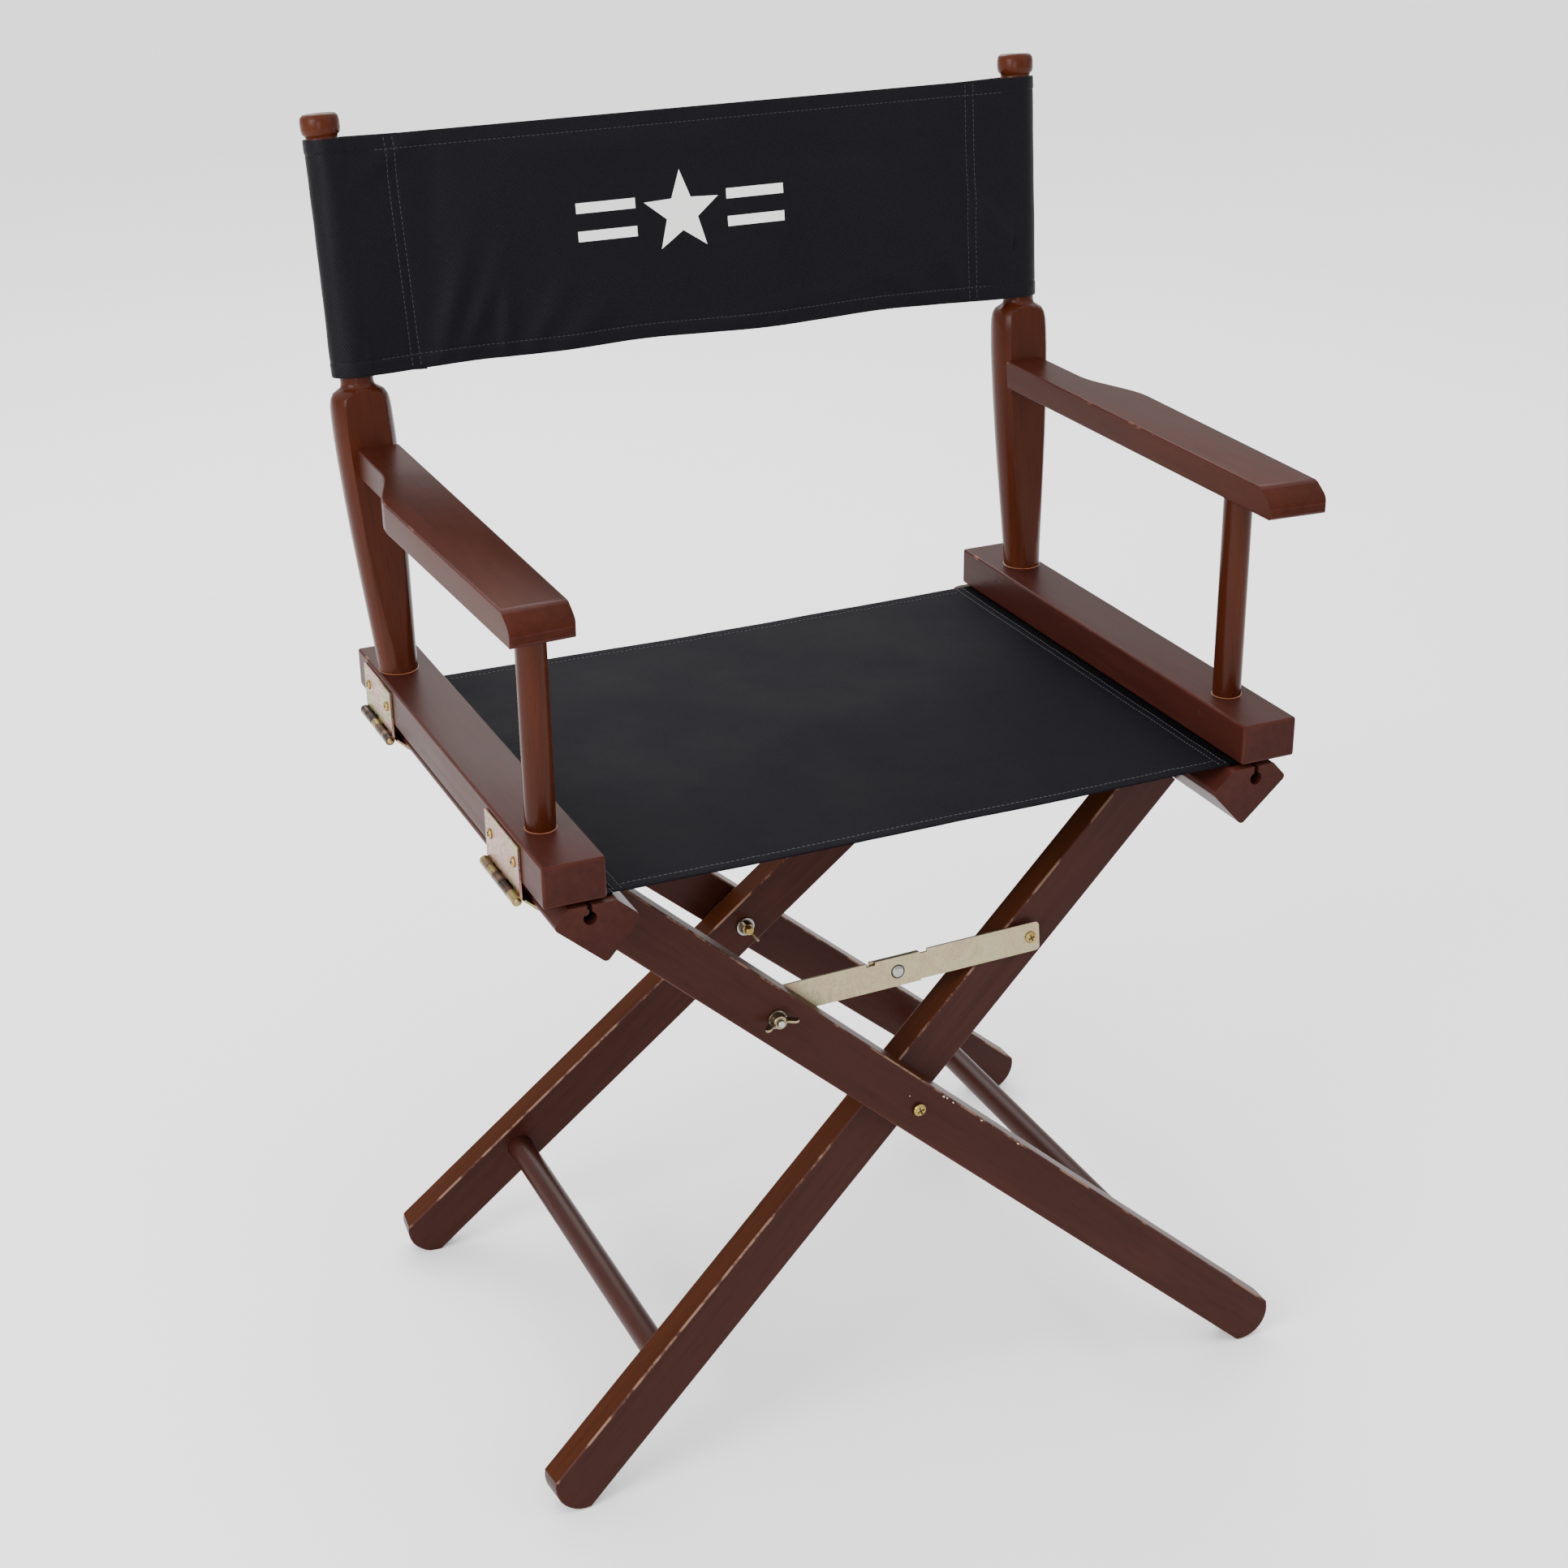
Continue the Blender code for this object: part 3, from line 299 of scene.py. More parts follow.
def canvas(name, colour, thread, twill, roughness, depth, gloss):
    """Woven cotton. The cloth map is in metres, thread is the yarn pitch, twill tilts the ribs."""
    made, tree, shader = new_material(name)
    cloth = tree.nodes.new("ShaderNodeUVMap")
    cloth.uv_map = "cloth"
    place = cloth.outputs["UV"]
    warp = yarns(tree, place, thread, twill, 0.6, 2.0)
    weft = yarns(tree, place, thread, twill + 90, 0.8, 1.0)
    weave = mix(tree, 0.35, warp, weft)
    slubs = noise_tex(tree, mapped(tree, place, (900.0, 260.0, 1.0)), 1.0, 4.0, 0.6)
    clouds = noise_tex(tree, mapped(tree, place, (11.0, 11.0, 1.0)), 1.0, 4.0)
    dark = [c * 0.35 for c in colour]
    light = [c * 1.8 for c in colour]
    tone = ramp(tree, weave, [(0.15, dark), (0.85, light)])
    tone = mix(tree, 0.7, tone, ramp(tree, slubs, [(0.3, grey(0.7)), (0.7, grey(1.35))]), "MULTIPLY")
    tone = mix(tree, 0.8, tone, ramp(tree, clouds, [(0.3, grey(0.8)), (0.7, grey(1.25))]), "MULTIPLY")
    tree.links.new(tone, shader.inputs["Base Color"])
    rough = ramp(tree, clouds, [(0.3, grey(roughness - 0.05)), (0.7, grey(roughness + 0.08))])
    tree.links.new(rough, shader.inputs["Roughness"])
    shader.inputs["Specular IOR Level"].default_value = gloss
    woven = bump(tree, weave, 0.0003, depth)
    tree.links.new(bump(tree, slubs, 0.0002, 0.2, woven), shader.inputs["Normal"])
    return made


def plain(name, colour, roughness, scale=300.0, spread=0.15):
    """A matt finish with a little mottling."""
    made, tree, shader = new_material(name)
    place = tree.nodes.new("ShaderNodeTexCoord").outputs["Object"]
    spots = noise_tex(tree, mapped(tree, place, (scale,) * 3), 1.0, 4.0)
    low = [c * (1 - spread) for c in colour]
    high = [min(c * (1 + spread), 1.0) for c in colour]
    tree.links.new(ramp(tree, spots, [(0.3, low), (0.7, high)]), shader.inputs["Base Color"])
    rough = ramp(tree, spots, [(0.3, grey(roughness)), (0.7, grey(min(roughness + 0.1, 1.0)))])
    tree.links.new(rough, shader.inputs["Roughness"])
    return made


LEG_WOOD = wood("leg_wood", (0.0235, 0.0058, 0.0040), (0.0345, 0.0092, 0.0062), gloss=0.09)
# The legs' faces across local Y: a lighter, warmer copy of the leg wood, painted light
LEG_SIDE_PAINTED_LIGHT = wood("leg_side_painted_light", (0.0345, 0.0090, 0.0034), (0.0500, 0.0138, 0.0051), gloss=0.03)
RAIL_WOOD = wood("rail_wood", (0.0255, 0.0060, 0.0043), (0.0385, 0.0100, 0.0070), gloss=0.07)
ARM_WOOD = wood("arm_wood", (0.0275, 0.0064, 0.0036), (0.0460, 0.0114, 0.0060), roughness=0.30, gloss=0.04)
TURNED_WOOD = wood("turned_wood", (0.024, 0.0046, 0.0022), (0.052, 0.0112, 0.0038), roughness=0.22,
                   gloss=0.10)
WORN_WOOD = wood("worn_wood", (0.030, 0.0064, 0.0042), (0.046, 0.0100, 0.0064), rub_and_highlight_share=0.33, roughness=0.40)
# Leg edges that catch the light: rubbed wood made lighter still as a painted highlight
LEG_EDGE_PAINTED_HIGHLIGHT = wood("leg_edge_painted_highlight", (0.032, 0.0080, 0.0054), (0.050, 0.0150, 0.0095), rub_and_highlight_share=0.48,
                 bare_and_highlight_colour=(0.145, 0.080, 0.054), roughness=0.34)
ROD_WOOD = wood("rod_wood", (0.14, 0.07, 0.031), (0.21, 0.12, 0.060), roughness=0.60)
CHIP = plain("bare_chip", (0.42, 0.33, 0.27), 0.60)
GLUE = plain("glue_line", (0.15, 0.045, 0.011), 0.35)
# Nail holes as dark discs: the dark is painted shade
NAIL_HOLE_SHADE = plain("nail_hole_painted_shade", (0.004, 0.002, 0.0015), 0.80)
YELLOW_ZINC_AND_REFLECTIONS = hinge_zinc_with_painted_reflections()
STAY_TINTS = [(0.29, 0.26, 0.140), (0.36, 0.32, 0.200), (0.35, 0.27, 0.180), (0.34, 0.31, 0.185)]
STAY_ZINC = zinc("stay_zinc", STAY_TINTS, 0.28, 34.0)
PIN_ZINC = zinc("pin_zinc", [(0.22, 0.14, 0.065), (0.32, 0.23, 0.11), (0.20, 0.12, 0.070)], 0.30, 180.0)
SCREW_BRASS = plain_metal("screw_zinc", (0.34, 0.225, 0.070), 0.24)
STEEL = plain_metal("bright_zinc", (0.34, 0.34, 0.32), 0.22)
NUT_METAL = plain_metal("nut_zinc", (0.26, 0.20, 0.125), 0.26)
# Near-black painted shadow for screw recesses and the rivet's bed
PAINTED_SHADOW = plain("recess_shadow", (0.012, 0.007, 0.003), 0.60)
BACK_CANVAS = canvas("back_canvas", (0.0028, 0.0024, 0.0042), 0.0015, 33, 0.46, 0.60, 0.085)
SEAT_CANVAS = canvas("seat_canvas", (0.0040, 0.0036, 0.0054), 0.0009, 0, 0.60, 0.22, 0.030)
BACK_THREAD = plain("back_thread", (0.0060, 0.0057, 0.0072), 0.65, 900.0, 0.4)
SEAT_THREAD = plain("seat_thread", (0.030, 0.030, 0.033), 0.65, 900.0, 0.4)
PRINT = plain("white_print", (0.72, 0.72, 0.71), 0.70, 500.0, 0.03)
FLOOR = plain("floor_pale", (0.90, 0.90, 0.90), 0.9, 2.0, 0.01)


# ---------------------------------------------------------------- shape helpers


def axes(x_axis, y_axis, origin):
    """The matrix whose local X and Y point along two right-angled directions."""
    x_axis, y_axis = Vector(x_axis).normalized(), Vector(y_axis).normalized()
    turn = Matrix((x_axis, y_axis, x_axis.cross(y_axis))).transposed()
    return Matrix.Translation(origin) @ turn.to_4x4()


def facing(direction, point):
    """Local Z along a direction, at a point."""
    turn = Vector(direction).to_track_quat("Z", "X").to_matrix().to_4x4()
    return Matrix.Translation(point) @ turn


def to_object(name, work, matrix, materials, sharp=35):
    """A finished bmesh as a smooth-shaded object, with edges over an angle in degrees kept sharp."""
    mesh = bpy.data.meshes.new(name)
    work.to_mesh(mesh)
    work.free()
    mesh.shade_smooth()
    mesh.set_sharp_from_angle(angle=radians(sharp))
    for one in materials:
        mesh.materials.append(one)
    made = bpy.data.objects.new(name, mesh)
    bpy.context.scene.collection.objects.link(made)
    made.matrix_world = matrix
    return made


def weighted_normals(obj):
    """Keeps the large flat faces flat beside their rounded edges."""
    step = obj.modifiers.new("flat faces stay flat", "WEIGHTED_NORMAL")
    step.keep_sharp = True


def circle(work, matrix, radius, height, count):
    """New vertices evenly round a matrix's local Z."""
    ring = []
    for i in range(count):
        turn = 2 * pi * i / count
        ring.append(work.verts.new(matrix @ Vector((radius * cos(turn), radius * sin(turn), height))))
    return ring


def turned(work, matrix, profile, steps=24):
    """Adds a shape turned about a matrix's local Z. The (radius, height) profile runs top to bottom."""
    rings = []
    for radius, height in profile:
        count = steps if radius > 0.0 else 1
        rings.append(circle(work, matrix, radius, height, count))
    for upper, lower in zip(rings, rings[1:]):
        for i in range(steps):
            j = (i + 1) % steps
            corners = [upper[i % len(upper)], lower[i % len(lower)]]
            corners += [lower[j % len(lower)], upper[j % len(upper)]]
            work.faces.new(list(dict.fromkeys(corners)))


# ---------------------------------------------------------------- stage


def build_stage():
    """A pale floor, soft light from all round with a larger one high on the left, and the camera."""
    work = bmesh.new()
    bmesh.ops.create_grid(work, x_segments=1, y_segments=1, size=20.0)
    floor = to_object("floor", work, Matrix.Translation((0, 0, -0.0005)), [FLOOR])
    world = bpy.data.worlds.new("studio")
    bpy.context.scene.world = world
    world.use_nodes = True
    sky = world.node_tree
    split = sky.nodes.new("ShaderNodeSeparateXYZ")
    sky.links.new(sky.nodes.new("ShaderNodeTexCoord").outputs["Generated"], split.inputs["Vector"])
    glow = ramp(sky, split.outputs["Z"], [(0.15, grey(0.42)), (0.75, grey(1.0))])
    sky.links.new(glow, sky.nodes["Background"].inputs["Color"])
    sky.nodes["Background"].inputs["Strength"].default_value = 2.25
    lamps = (("key", (-2.4, -0.9, 1.7), 1.4, 75.0), ("front", (-1.5, -2.9, 1.3), 0.8, 24.0),
             ("fill", (2.2, -1.9, 1.9), 1.8, 10.0), ("rim", (0.4, 2.3, 2.6), 1.8, 60.0))
    for name, at, size, power in lamps:
        light = bpy.data.lights.new(name, "AREA")
        light.size = size
        light.energy = power
        lamp = bpy.data.objects.new(name, light)
        bpy.context.scene.collection.objects.link(lamp)
        lamp.matrix_world = facing(Vector(at) - Vector((0.0, 0.0, 0.45)), at)
    camera = bpy.data.cameras.new("camera")
    camera.sensor_width = 36.0
    camera.lens = 59.72
    view = bpy.data.objects.new("camera", camera)
    bpy.context.scene.collection.objects.link(view)
    yaw, pitch, roll = 0.4156, -0.4247, -0.0136
    ahead = Vector((sin(yaw) * cos(pitch), cos(yaw) * cos(pitch), sin(pitch)))
    level = Vector((cos(yaw), -sin(yaw), 0.0))
    right = cos(roll) * level + sin(roll) * level.cross(ahead)
    up = right.cross(ahead)
    view.matrix_world = axes(right, up, (-0.6817, -1.4997 + mid_y, 1.1555))
    bpy.context.scene.camera = view


# ---------------------------------------------------------------- wood


# A narrower face than this, longer than the second size, is an edge's bevel
BEVEL_STRIP, BEVEL_LEAST_LENGTH = 0.00115, 0.004


def catches_light(matrix, face):
    """Whether a bevelled strip lies between an upper face and a front or a rear one, where a highlight is
    painted on the legs.
    """
    out = matrix.to_3x3() @ face.normal
    return out.z > 0.15 and abs(out.y) > 0.25


def wooden(node, body, matrix, look, highlight_edge_look=WORN_WOOD, painted_light_side_look=None):
    """The CAD piece with its own grain direction, flat faces and rubbed edges.

    The edges that catch the light take one look, a painted highlight on the legs, and the faces across local
    Y another, painted light on the legs.
    """
    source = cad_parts[node]
    work = bmesh.new()
    work.from_mesh(source.data)
    bmesh.ops.transform(work, matrix=matrix.inverted() @ source.matrix_world, verts=work.verts)
    bmesh.ops.remove_doubles(work, verts=work.verts, dist=0.000002)
    bmesh.ops.dissolve_limit(work, angle_limit=radians(0.4), verts=work.verts, edges=work.edges)
    for face in work.faces:
        longest = max(edge.calc_length() for edge in face.edges)
        if longest > BEVEL_LEAST_LENGTH and face.calc_area() / longest < BEVEL_STRIP:
            # Bevels between an upper and a front or rear face take the edge look, a painted highlight on the
            # legs
            face.material_index = 2 if catches_light(matrix, face) else 1
        # Faces across local Y take the side look, painted light on the legs
        elif painted_light_side_look and abs(face.normal.y) > 0.9:
            face.material_index = 3
    made = to_object(node + "_wood", work, matrix, [look, WORN_WOOD, highlight_edge_look, painted_light_side_look or look], 40)
    weighted_normals(made)
    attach(made, body)
    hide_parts(node)


def middle_of(node):
    low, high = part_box(node)
    return (Vector(low) + Vector(high)) / 2


def lengthwise(node):
    """Local X runs from front to rear through the middle of a piece, and local Y runs up."""
    return axes((0, 1, 0), (0, 0, 1), middle_of(node))


def post_matrix(side):
    """Local X runs up a leaning post's axis, from the upper rail."""
    up = Vector((side * POST_SPLAY, POST_LEAN, 1.0))
    right = Vector((0.0, 1.0, 0.0)).cross(up).normalized()
    return axes(up, right, (side * POST_X, POST_Y + mid_y, RAIL_TOP))


def build_wood():
    """Legs, rails, arms, stretchers, dowels and posts."""
    for side, kind, body in ((1, "outer", "outer_frame"), (-1, "inner", "inner_frame")):
        for end, word in ((-1, "front"), (1, "rear")):
            node = f"{kind}_leg_{word}"
            down = (side * cos(LEG_ANGLE), end * LEG_FLARE, -sin(LEG_ANGLE))
            over = (side * sin(LEG_ANGLE), 0.0, cos(LEG_ANGLE))
            wooden(node, body, axes(down, over, middle_of(node)), LEG_WOOD, LEG_EDGE_PAINTED_HIGHLIGHT, LEG_SIDE_PAINTED_LIGHT)
    for side, word, side_body, frame_body, other in (
        (-1, "left", "left_side", "outer_frame", "inner_frame"),
        (1, "right", "right_side", "inner_frame", "outer_frame"),
    ):
        for node, body, look, slot_name in (
            (f"upper_rail_{word}", side_body, RAIL_WOOD, "rail"),
            (f"lower_rail_{word}", frame_body, RAIL_WOOD, "rail"),
            (f"armrest_{word}", side_body, ARM_WOOD, "arm"),
            (f"stretcher_{word}", other, LEG_WOOD, "turned"),
        ):
            wooden(node, body, lengthwise(node), look)
        dowel = f"arm_dowel_{word}"
        wooden(dowel, side_body, axes((0, 0, 1), (0, 1, 0), middle_of(dowel)), TURNED_WOOD)
        wooden(f"back_post_{word}", side_body, post_matrix(side), TURNED_WOOD)


def glue_ring(name, matrix, radius, body):
    """A thin line of squeezed glue where a round piece meets a flat one."""
    work = bmesh.new()
    profile = [(radius - 0.0008, 0.00035), (radius + 0.0002, 0.0003), (radius + 0.0005, 0.00005),
               (radius - 0.0008, 0.00005), (radius - 0.0008, 0.00035)]
    turned(work, matrix, profile, 40)
    bmesh.ops.remove_doubles(work, verts=work.verts, dist=0.000001)
    made = to_object(name, work, Matrix.Identity(4), [GLUE], 60)
    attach(made, body)


def build_glue_and_holes():
    """Glue lines round the posts and both ends of the arm dowels, and nail holes in the upper rails, drawn
    as dark discs of painted shade.
    """
    for side, word, body in ((-1, "left", "left_side"), (1, "right", "right_side")):
        base = Matrix.Translation((side * POST_X, POST_Y + mid_y, RAIL_TOP))
        glue_ring(f"glue_post_{word}", base, POST_GLUE_RADIUS, body)
        low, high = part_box(f"arm_dowel_{word}")
        x, y = (low[0] + high[0]) / 2, (low[1] + high[1]) / 2
        glue_ring(f"glue_dowel_{word}", Matrix.Translation((x, y, RAIL_TOP)), DOWEL_GLUE_RADIUS, body)
        under = Matrix.Translation((x, y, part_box(f"armrest_{word}")[0][2])) @ Matrix.Rotation(pi, 4, "X")
        glue_ring(f"glue_arm_{word}", under, DOWEL_GLUE_RADIUS, body)
        rail_low, rail_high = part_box(f"upper_rail_{word}")
        inner = rail_high[0] if side < 0 else rail_low[0]
        work = bmesh.new()
        for y_hole in (-NAIL_Y, NAIL_Y):
            turned(work, facing((-side, 0, 0), (inner, y_hole + mid_y, NAIL_Z)),
                   [(0.0, 0.00012), (0.0010, 0.0001), (0.0012, -0.0004), (0.0, -0.0004)], 14)
        holes = to_object(f"nail_holes_{word}", work, Matrix.Identity(4), [NAIL_HOLE_SHADE])
        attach(holes, body)


def build_scuffs():
    """Small chips of bare wood beside the front crossing, on the outer leg's face and its upper edge."""
    up_slope = Vector((sin(LEG_ANGLE), 0.0, cos(LEG_ANGLE)))
    down_slope = Vector((cos(LEG_ANGLE), 0.0, -sin(LEG_ANGLE)))
    face_out = Vector((LEG_FLARE * cos(LEG_ANGLE), 1.0, -LEG_FLARE * sin(LEG_ANGLE))).normalized() * -1.0
    work = bmesh.new()
    for along, across, long, wide in ((0.010, 0.0160, 0.0016, 0.0009), (0.013, 0.0164, 0.0010, 0.0007),
                                      (0.019, 0.0161, 0.0013, 0.0006), (-0.012, 0.0040, 0.0006, 0.0008),
                                      (0.046, 0.0162, 0.0012, 0.0006), (0.082, 0.0163, 0.0018, 0.0006)):
        surface = -(LEG_OUT_Y + LEG_FLARE * along) + mid_y
        middle = Vector((0, surface, PIVOT_Z)) + down_slope * along + up_slope * across
        ring = []
        for i in range(CHIP_SIDES):
            reach = 0.7 + 0.5 * noise.noise(Vector((i * 1.7, along * 300, 0.0)))
            turn = 2 * pi * i / CHIP_SIDES
            down, up = long * reach * cos(turn), wide * reach * sin(turn)
            ring.append(middle + down_slope * down + up_slope * up)
        top = [work.verts.new(point + face_out * 0.00008) for point in ring]
        bottom = [work.verts.new(point - face_out * 0.0003) for point in ring]
        work.faces.new(top)
        work.faces.new(bottom[::-1])
        for i in range(CHIP_SIDES):
            j = (i + 1) % CHIP_SIDES
            work.faces.new([top[i], bottom[i], bottom[j], top[j]])
    bmesh.ops.recalc_face_normals(work, faces=work.faces)
    made = to_object("leg_scuffs", work, Matrix.Identity(4), [CHIP])
    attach(made, "outer_frame")


# ---------------------------------------------------------------- metal


def screw_head(work, matrix, radius, height):
    """A domed head with a cross sunk in it, the cross painted dark as shade."""
    flat_radius, flat_height = radius * 0.62, height * 0.92
    dome = [(flat_radius, flat_height), (radius * 0.75, height * 0.82), (radius * 0.93, height * 0.55),
            (radius, height * 0.25), (radius * 0.98, 0.0), (0.0, 0.0)]
    turned(work, matrix, dome, HEAD_SIDES)
    arm, half = radius * 0.58, radius * 0.20
    top, deep = height * 0.94, height * 0.42
    cross = [(half, arm), (-half, arm), (-half, half), (-arm, half), (-arm, -half), (-half, -half),
             (-half, -arm), (half, -arm), (half, -half), (arm, -half), (arm, half), (half, half)]
    rim = circle(work, matrix, flat_radius, flat_height, HEAD_SIDES)
    mouth = [work.verts.new(matrix @ Vector((x, y, top))) for x, y in cross]
    floor = [work.verts.new(matrix @ Vector((x * 0.85, y * 0.85, top - deep))) for x, y in cross]
    edges = []
    for ring in (rim, mouth):
        edges += [work.edges.new((ring[i - 1], ring[i])) for i in range(len(ring))]
    bmesh.ops.triangle_fill(work, use_beauty=True, edges=edges)
    shaded_cross = [work.faces.new(floor)]
    for i in range(len(mouth)):
        j = (i + 1) % len(mouth)
        shaded_cross.append(work.faces.new([mouth[i], mouth[j], floor[j], floor[i]]))
    # The sunk cross takes the painted shadow
    for face in shaded_cross:
        face.material_index = 1
    bmesh.ops.remove_doubles(work, verts=work.verts, dist=0.000001)


def screw(name, matrix, head, body):
    """A crossed screw or bolt head of a (radius, height), standing along a matrix's local Z."""
    work = bmesh.new()
    screw_head(work, matrix, *head)
    bmesh.ops.recalc_face_normals(work, faces=work.faces)
    made = to_object(name, work, Matrix.Identity(4), [SCREW_BRASS, PAINTED_SHADOW], 35)
    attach(made, body)


def head_top(node, direction):
    """The middle of the face furthest along a direction."""
    direction = Vector(direction).normalized()
    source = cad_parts[node]
    points = [source.matrix_world @ vertex.co for vertex in source.data.vertices]
    furthest = max(point.dot(direction) for point in points)
    top = [point for point in points if point.dot(direction) > furthest - 0.0001]
    return sum(top, Vector()) / len(top)


def build_rivet_painted_shadow():
    """A painted contact shadow: the dark line round the stay's rivet head, where it beds on the bar."""
    matrix = facing(-STAY_NORMAL, head_top("stay_rivet", -STAY_NORMAL) + STAY_NORMAL * 0.0010)
    work = bmesh.new()
    inner, outer = 0.0040, 0.0050
    profile = [(inner, 0.0003), (outer, 0.0002), (outer, -0.0001), (inner, -0.0001), (inner, 0.0003)]
    turned(work, matrix, profile, 32)
    bmesh.ops.remove_doubles(work, verts=work.verts, dist=0.000001)
    bmesh.ops.recalc_face_normals(work, faces=work.faces)
    made = to_object("rivet_painted_shadow", work, Matrix.Identity(4), [PAINTED_SHADOW])
    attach(made, "stay_left")


def build_bolt_heads():
    """Domed, crossed heads over the plain ones of the leg bolts and the stay's screw."""
    for node, direction, head, body in (
        ("pivot_bolt_front", Vector((0, -1, 0)), (0.0047, 0.0026), "outer_frame"),
        ("pivot_bolt_rear", Vector((0, 1, 0)), (0.0047, 0.0026), "outer_frame"),
        ("stay_screw", -STAY_NORMAL, (0.0040, 0.0022), "stay_right"),
    ):
        base = head_top(node, direction) - direction * (head[1] - 0.0003)
        place = facing(direction, base) @ Matrix.Rotation(0.5, 4, "Z")
        screw(node + "_dome", place, head, body)


def build_hinge_screws():
    """Two screws through each leaf of the four hinges."""
    for side, word, side_body, frame_body in ((-1, "left", "left_side", "outer_frame"),
                                              (1, "right", "right_side", "inner_frame")):
        upper_out = Vector((side, 0, 0))
        lower_out = Vector((side * sin(LEG_ANGLE), 0, -cos(LEG_ANGLE)))
        lower_along = Vector((-side * cos(LEG_ANGLE), 0, -sin(LEG_ANGLE)))
        for end in ("rear", "front"):
            name = f"hinge_{word}_{end}"
            leaf_low, leaf_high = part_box(f"{name}_upper_leaf")
            middle = (leaf_low[1] + leaf_high[1]) / 2
            pin_low, pin_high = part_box(f"{name}_pin")
            pin = Vector(((pin_low[0] + pin_high[0]) / 2, middle, (pin_low[2] + pin_high[2]) / 2))
            for which, offset, turn in (("a", -HINGE_SCREW_Y, 25), ("b", HINGE_SCREW_Y, 70)):
                at = Vector((pin.x, middle + offset, UPPER_SCREW_Z)) - upper_out * LEAF_FACE
                place = facing(upper_out, at) @ Matrix.Rotation(radians(turn), 4, "Z")
                screw(f"{name}_screw_upper_{which}", place, HINGE_SCREW_HEAD, side_body)
                at = pin + lower_along * LOWER_SCREW_REACH - lower_out * LEAF_FACE + Vector((0, offset, 0))
                place = facing(lower_out, at) @ Matrix.Rotation(radians(turn + 30), 4, "Z")
                screw(f"{name}_screw_lower_{which}", place, HINGE_SCREW_HEAD, frame_body)


def wear(node, look):
    """Gives a CAD node a material."""
    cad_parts[node].data.materials.clear()
    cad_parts[node].data.materials.append(look)


def dress_cad_pieces():
    """The finishes of the CAD's own pieces that stay, by the start of their names."""
    looks = {
        "pivot_bolt": SCREW_BRASS,
        "stay_screw": SCREW_BRASS,
        "hinge": YELLOW_ZINC_AND_REFLECTIONS,
        "stay_bar": STAY_ZINC,
        "wing_nut": NUT_METAL,
        "pivot": STEEL,
        "stay": STEEL,
        "seat_rod": ROD_WOOD,
        "seat_hem": SEAT_CANVAS,
    }
    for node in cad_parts:
        look = next((looks[start] for start in looks if node.startswith(start)), None)
        if node.endswith("_pin"):
            look = PIN_ZINC
        if look is not None:
            wear(node, look)


# ---------------------------------------------------------------- cloth


def ripple(x, y, scale, seed):
    """Smooth noise from about -1 to 1."""
    return noise.noise(Vector((x / scale, y / scale, seed))) * 1.6


def ridge(x, y, at, angle, length, width):
    """A soft fold: 1 along its crest, falling to 0 around it."""
    dx, dy = x - at[0], y - at[1]
    along = dx * cos(radians(angle)) + dy * sin(radians(angle))
    across = -dx * sin(radians(angle)) + dy * cos(radians(angle))
    return exp(-((along / length) ** 2) - (across / width) ** 2)


def groove(distance, width=0.0008):
    """1 on a sewn line, falling to 0 beside it."""
    return exp(-((distance / width) ** 2))


def steps_between(low, high, fine_zones, coarse, fine):
    """Positions from low to high, closer together inside the fine zones."""
    places = [low]
    while places[-1] < high - fine * 0.6:
        here = places[-1]
        inside = any(a - coarse < here < b for a, b in fine_zones)
        places.append(min(here + (fine if inside else coarse), high))
    return places


def cloth_grid(name, columns, rows, front, back, uv, look):
    """A closed sheet between a front and a back surface, each a function of a column and a row."""
    work = bmesh.new()
    layer = work.loops.layers.uv.new("cloth")
    sheets = [[[work.verts.new(surface(c, r)) for r in rows] for c in columns] for surface in (front, back)]
    last_c, last_r = len(columns) - 1, len(rows) - 1
    place = {}
    for sheet in sheets:
        for i, c in enumerate(columns):
            for j, r in enumerate(rows):
                place[sheet[i][j]] = uv(c, r)
    for index, sheet in enumerate(sheets):
        for i in range(last_c):
            for j in range(last_r):
                corners = [sheet[i][j], sheet[i + 1][j], sheet[i + 1][j + 1], sheet[i][j + 1]]
                work.faces.new(corners if index == 0 else corners[::-1])
    top, bottom = sheets
    for i in range(last_c):
        work.faces.new([top[i + 1][0], top[i][0], bottom[i][0], bottom[i + 1][0]])
        work.faces.new([top[i][last_r], top[i + 1][last_r], bottom[i + 1][last_r], bottom[i][last_r]])
    for j in range(last_r):
        work.faces.new([top[0][j], top[0][j + 1], bottom[0][j + 1], bottom[0][j]])
        work.faces.new([top[last_c][j + 1], top[last_c][j], bottom[last_c][j], bottom[last_c][j + 1]])
    for face in work.faces:
        for loop in face.loops:
            loop[layer].uv = place[loop.vert]
    bmesh.ops.recalc_face_normals(work, faces=work.faces)
    return to_object(name, work, Matrix.Identity(4), [look], 50)


def add_stitch(work, middle, along, out):
    """One raised stitch: a small spindle of thread sunk at both ends."""
    along, out = along.normalized(), out.normalized()
    side = along.cross(out)
    rings = []
    for share, size in ((-0.5, 0.35), (-0.25, 0.9), (0.0, 1.0), (0.25, 0.9), (0.5, 0.35)):
        centre = middle + along * (share * STITCH_LENGTH) + out * (STITCH_RISE * size - STITCH_SINK)
        half, rise = side * (STITCH_HALF_WIDTH * size), out * (STITCH_RISE * size)
        turns = [pi / 3 * k for k in range(6)]
        rings.append([work.verts.new(centre + half * cos(turn) + rise * sin(turn)) for turn in turns])
    for first, second in zip(rings, rings[1:]):
        for k in range(6):
            m = (k + 1) % 6
            work.faces.new([first[k], first[m], second[m], second[k]])
    work.faces.new(rings[0][::-1])
    work.faces.new(rings[-1])


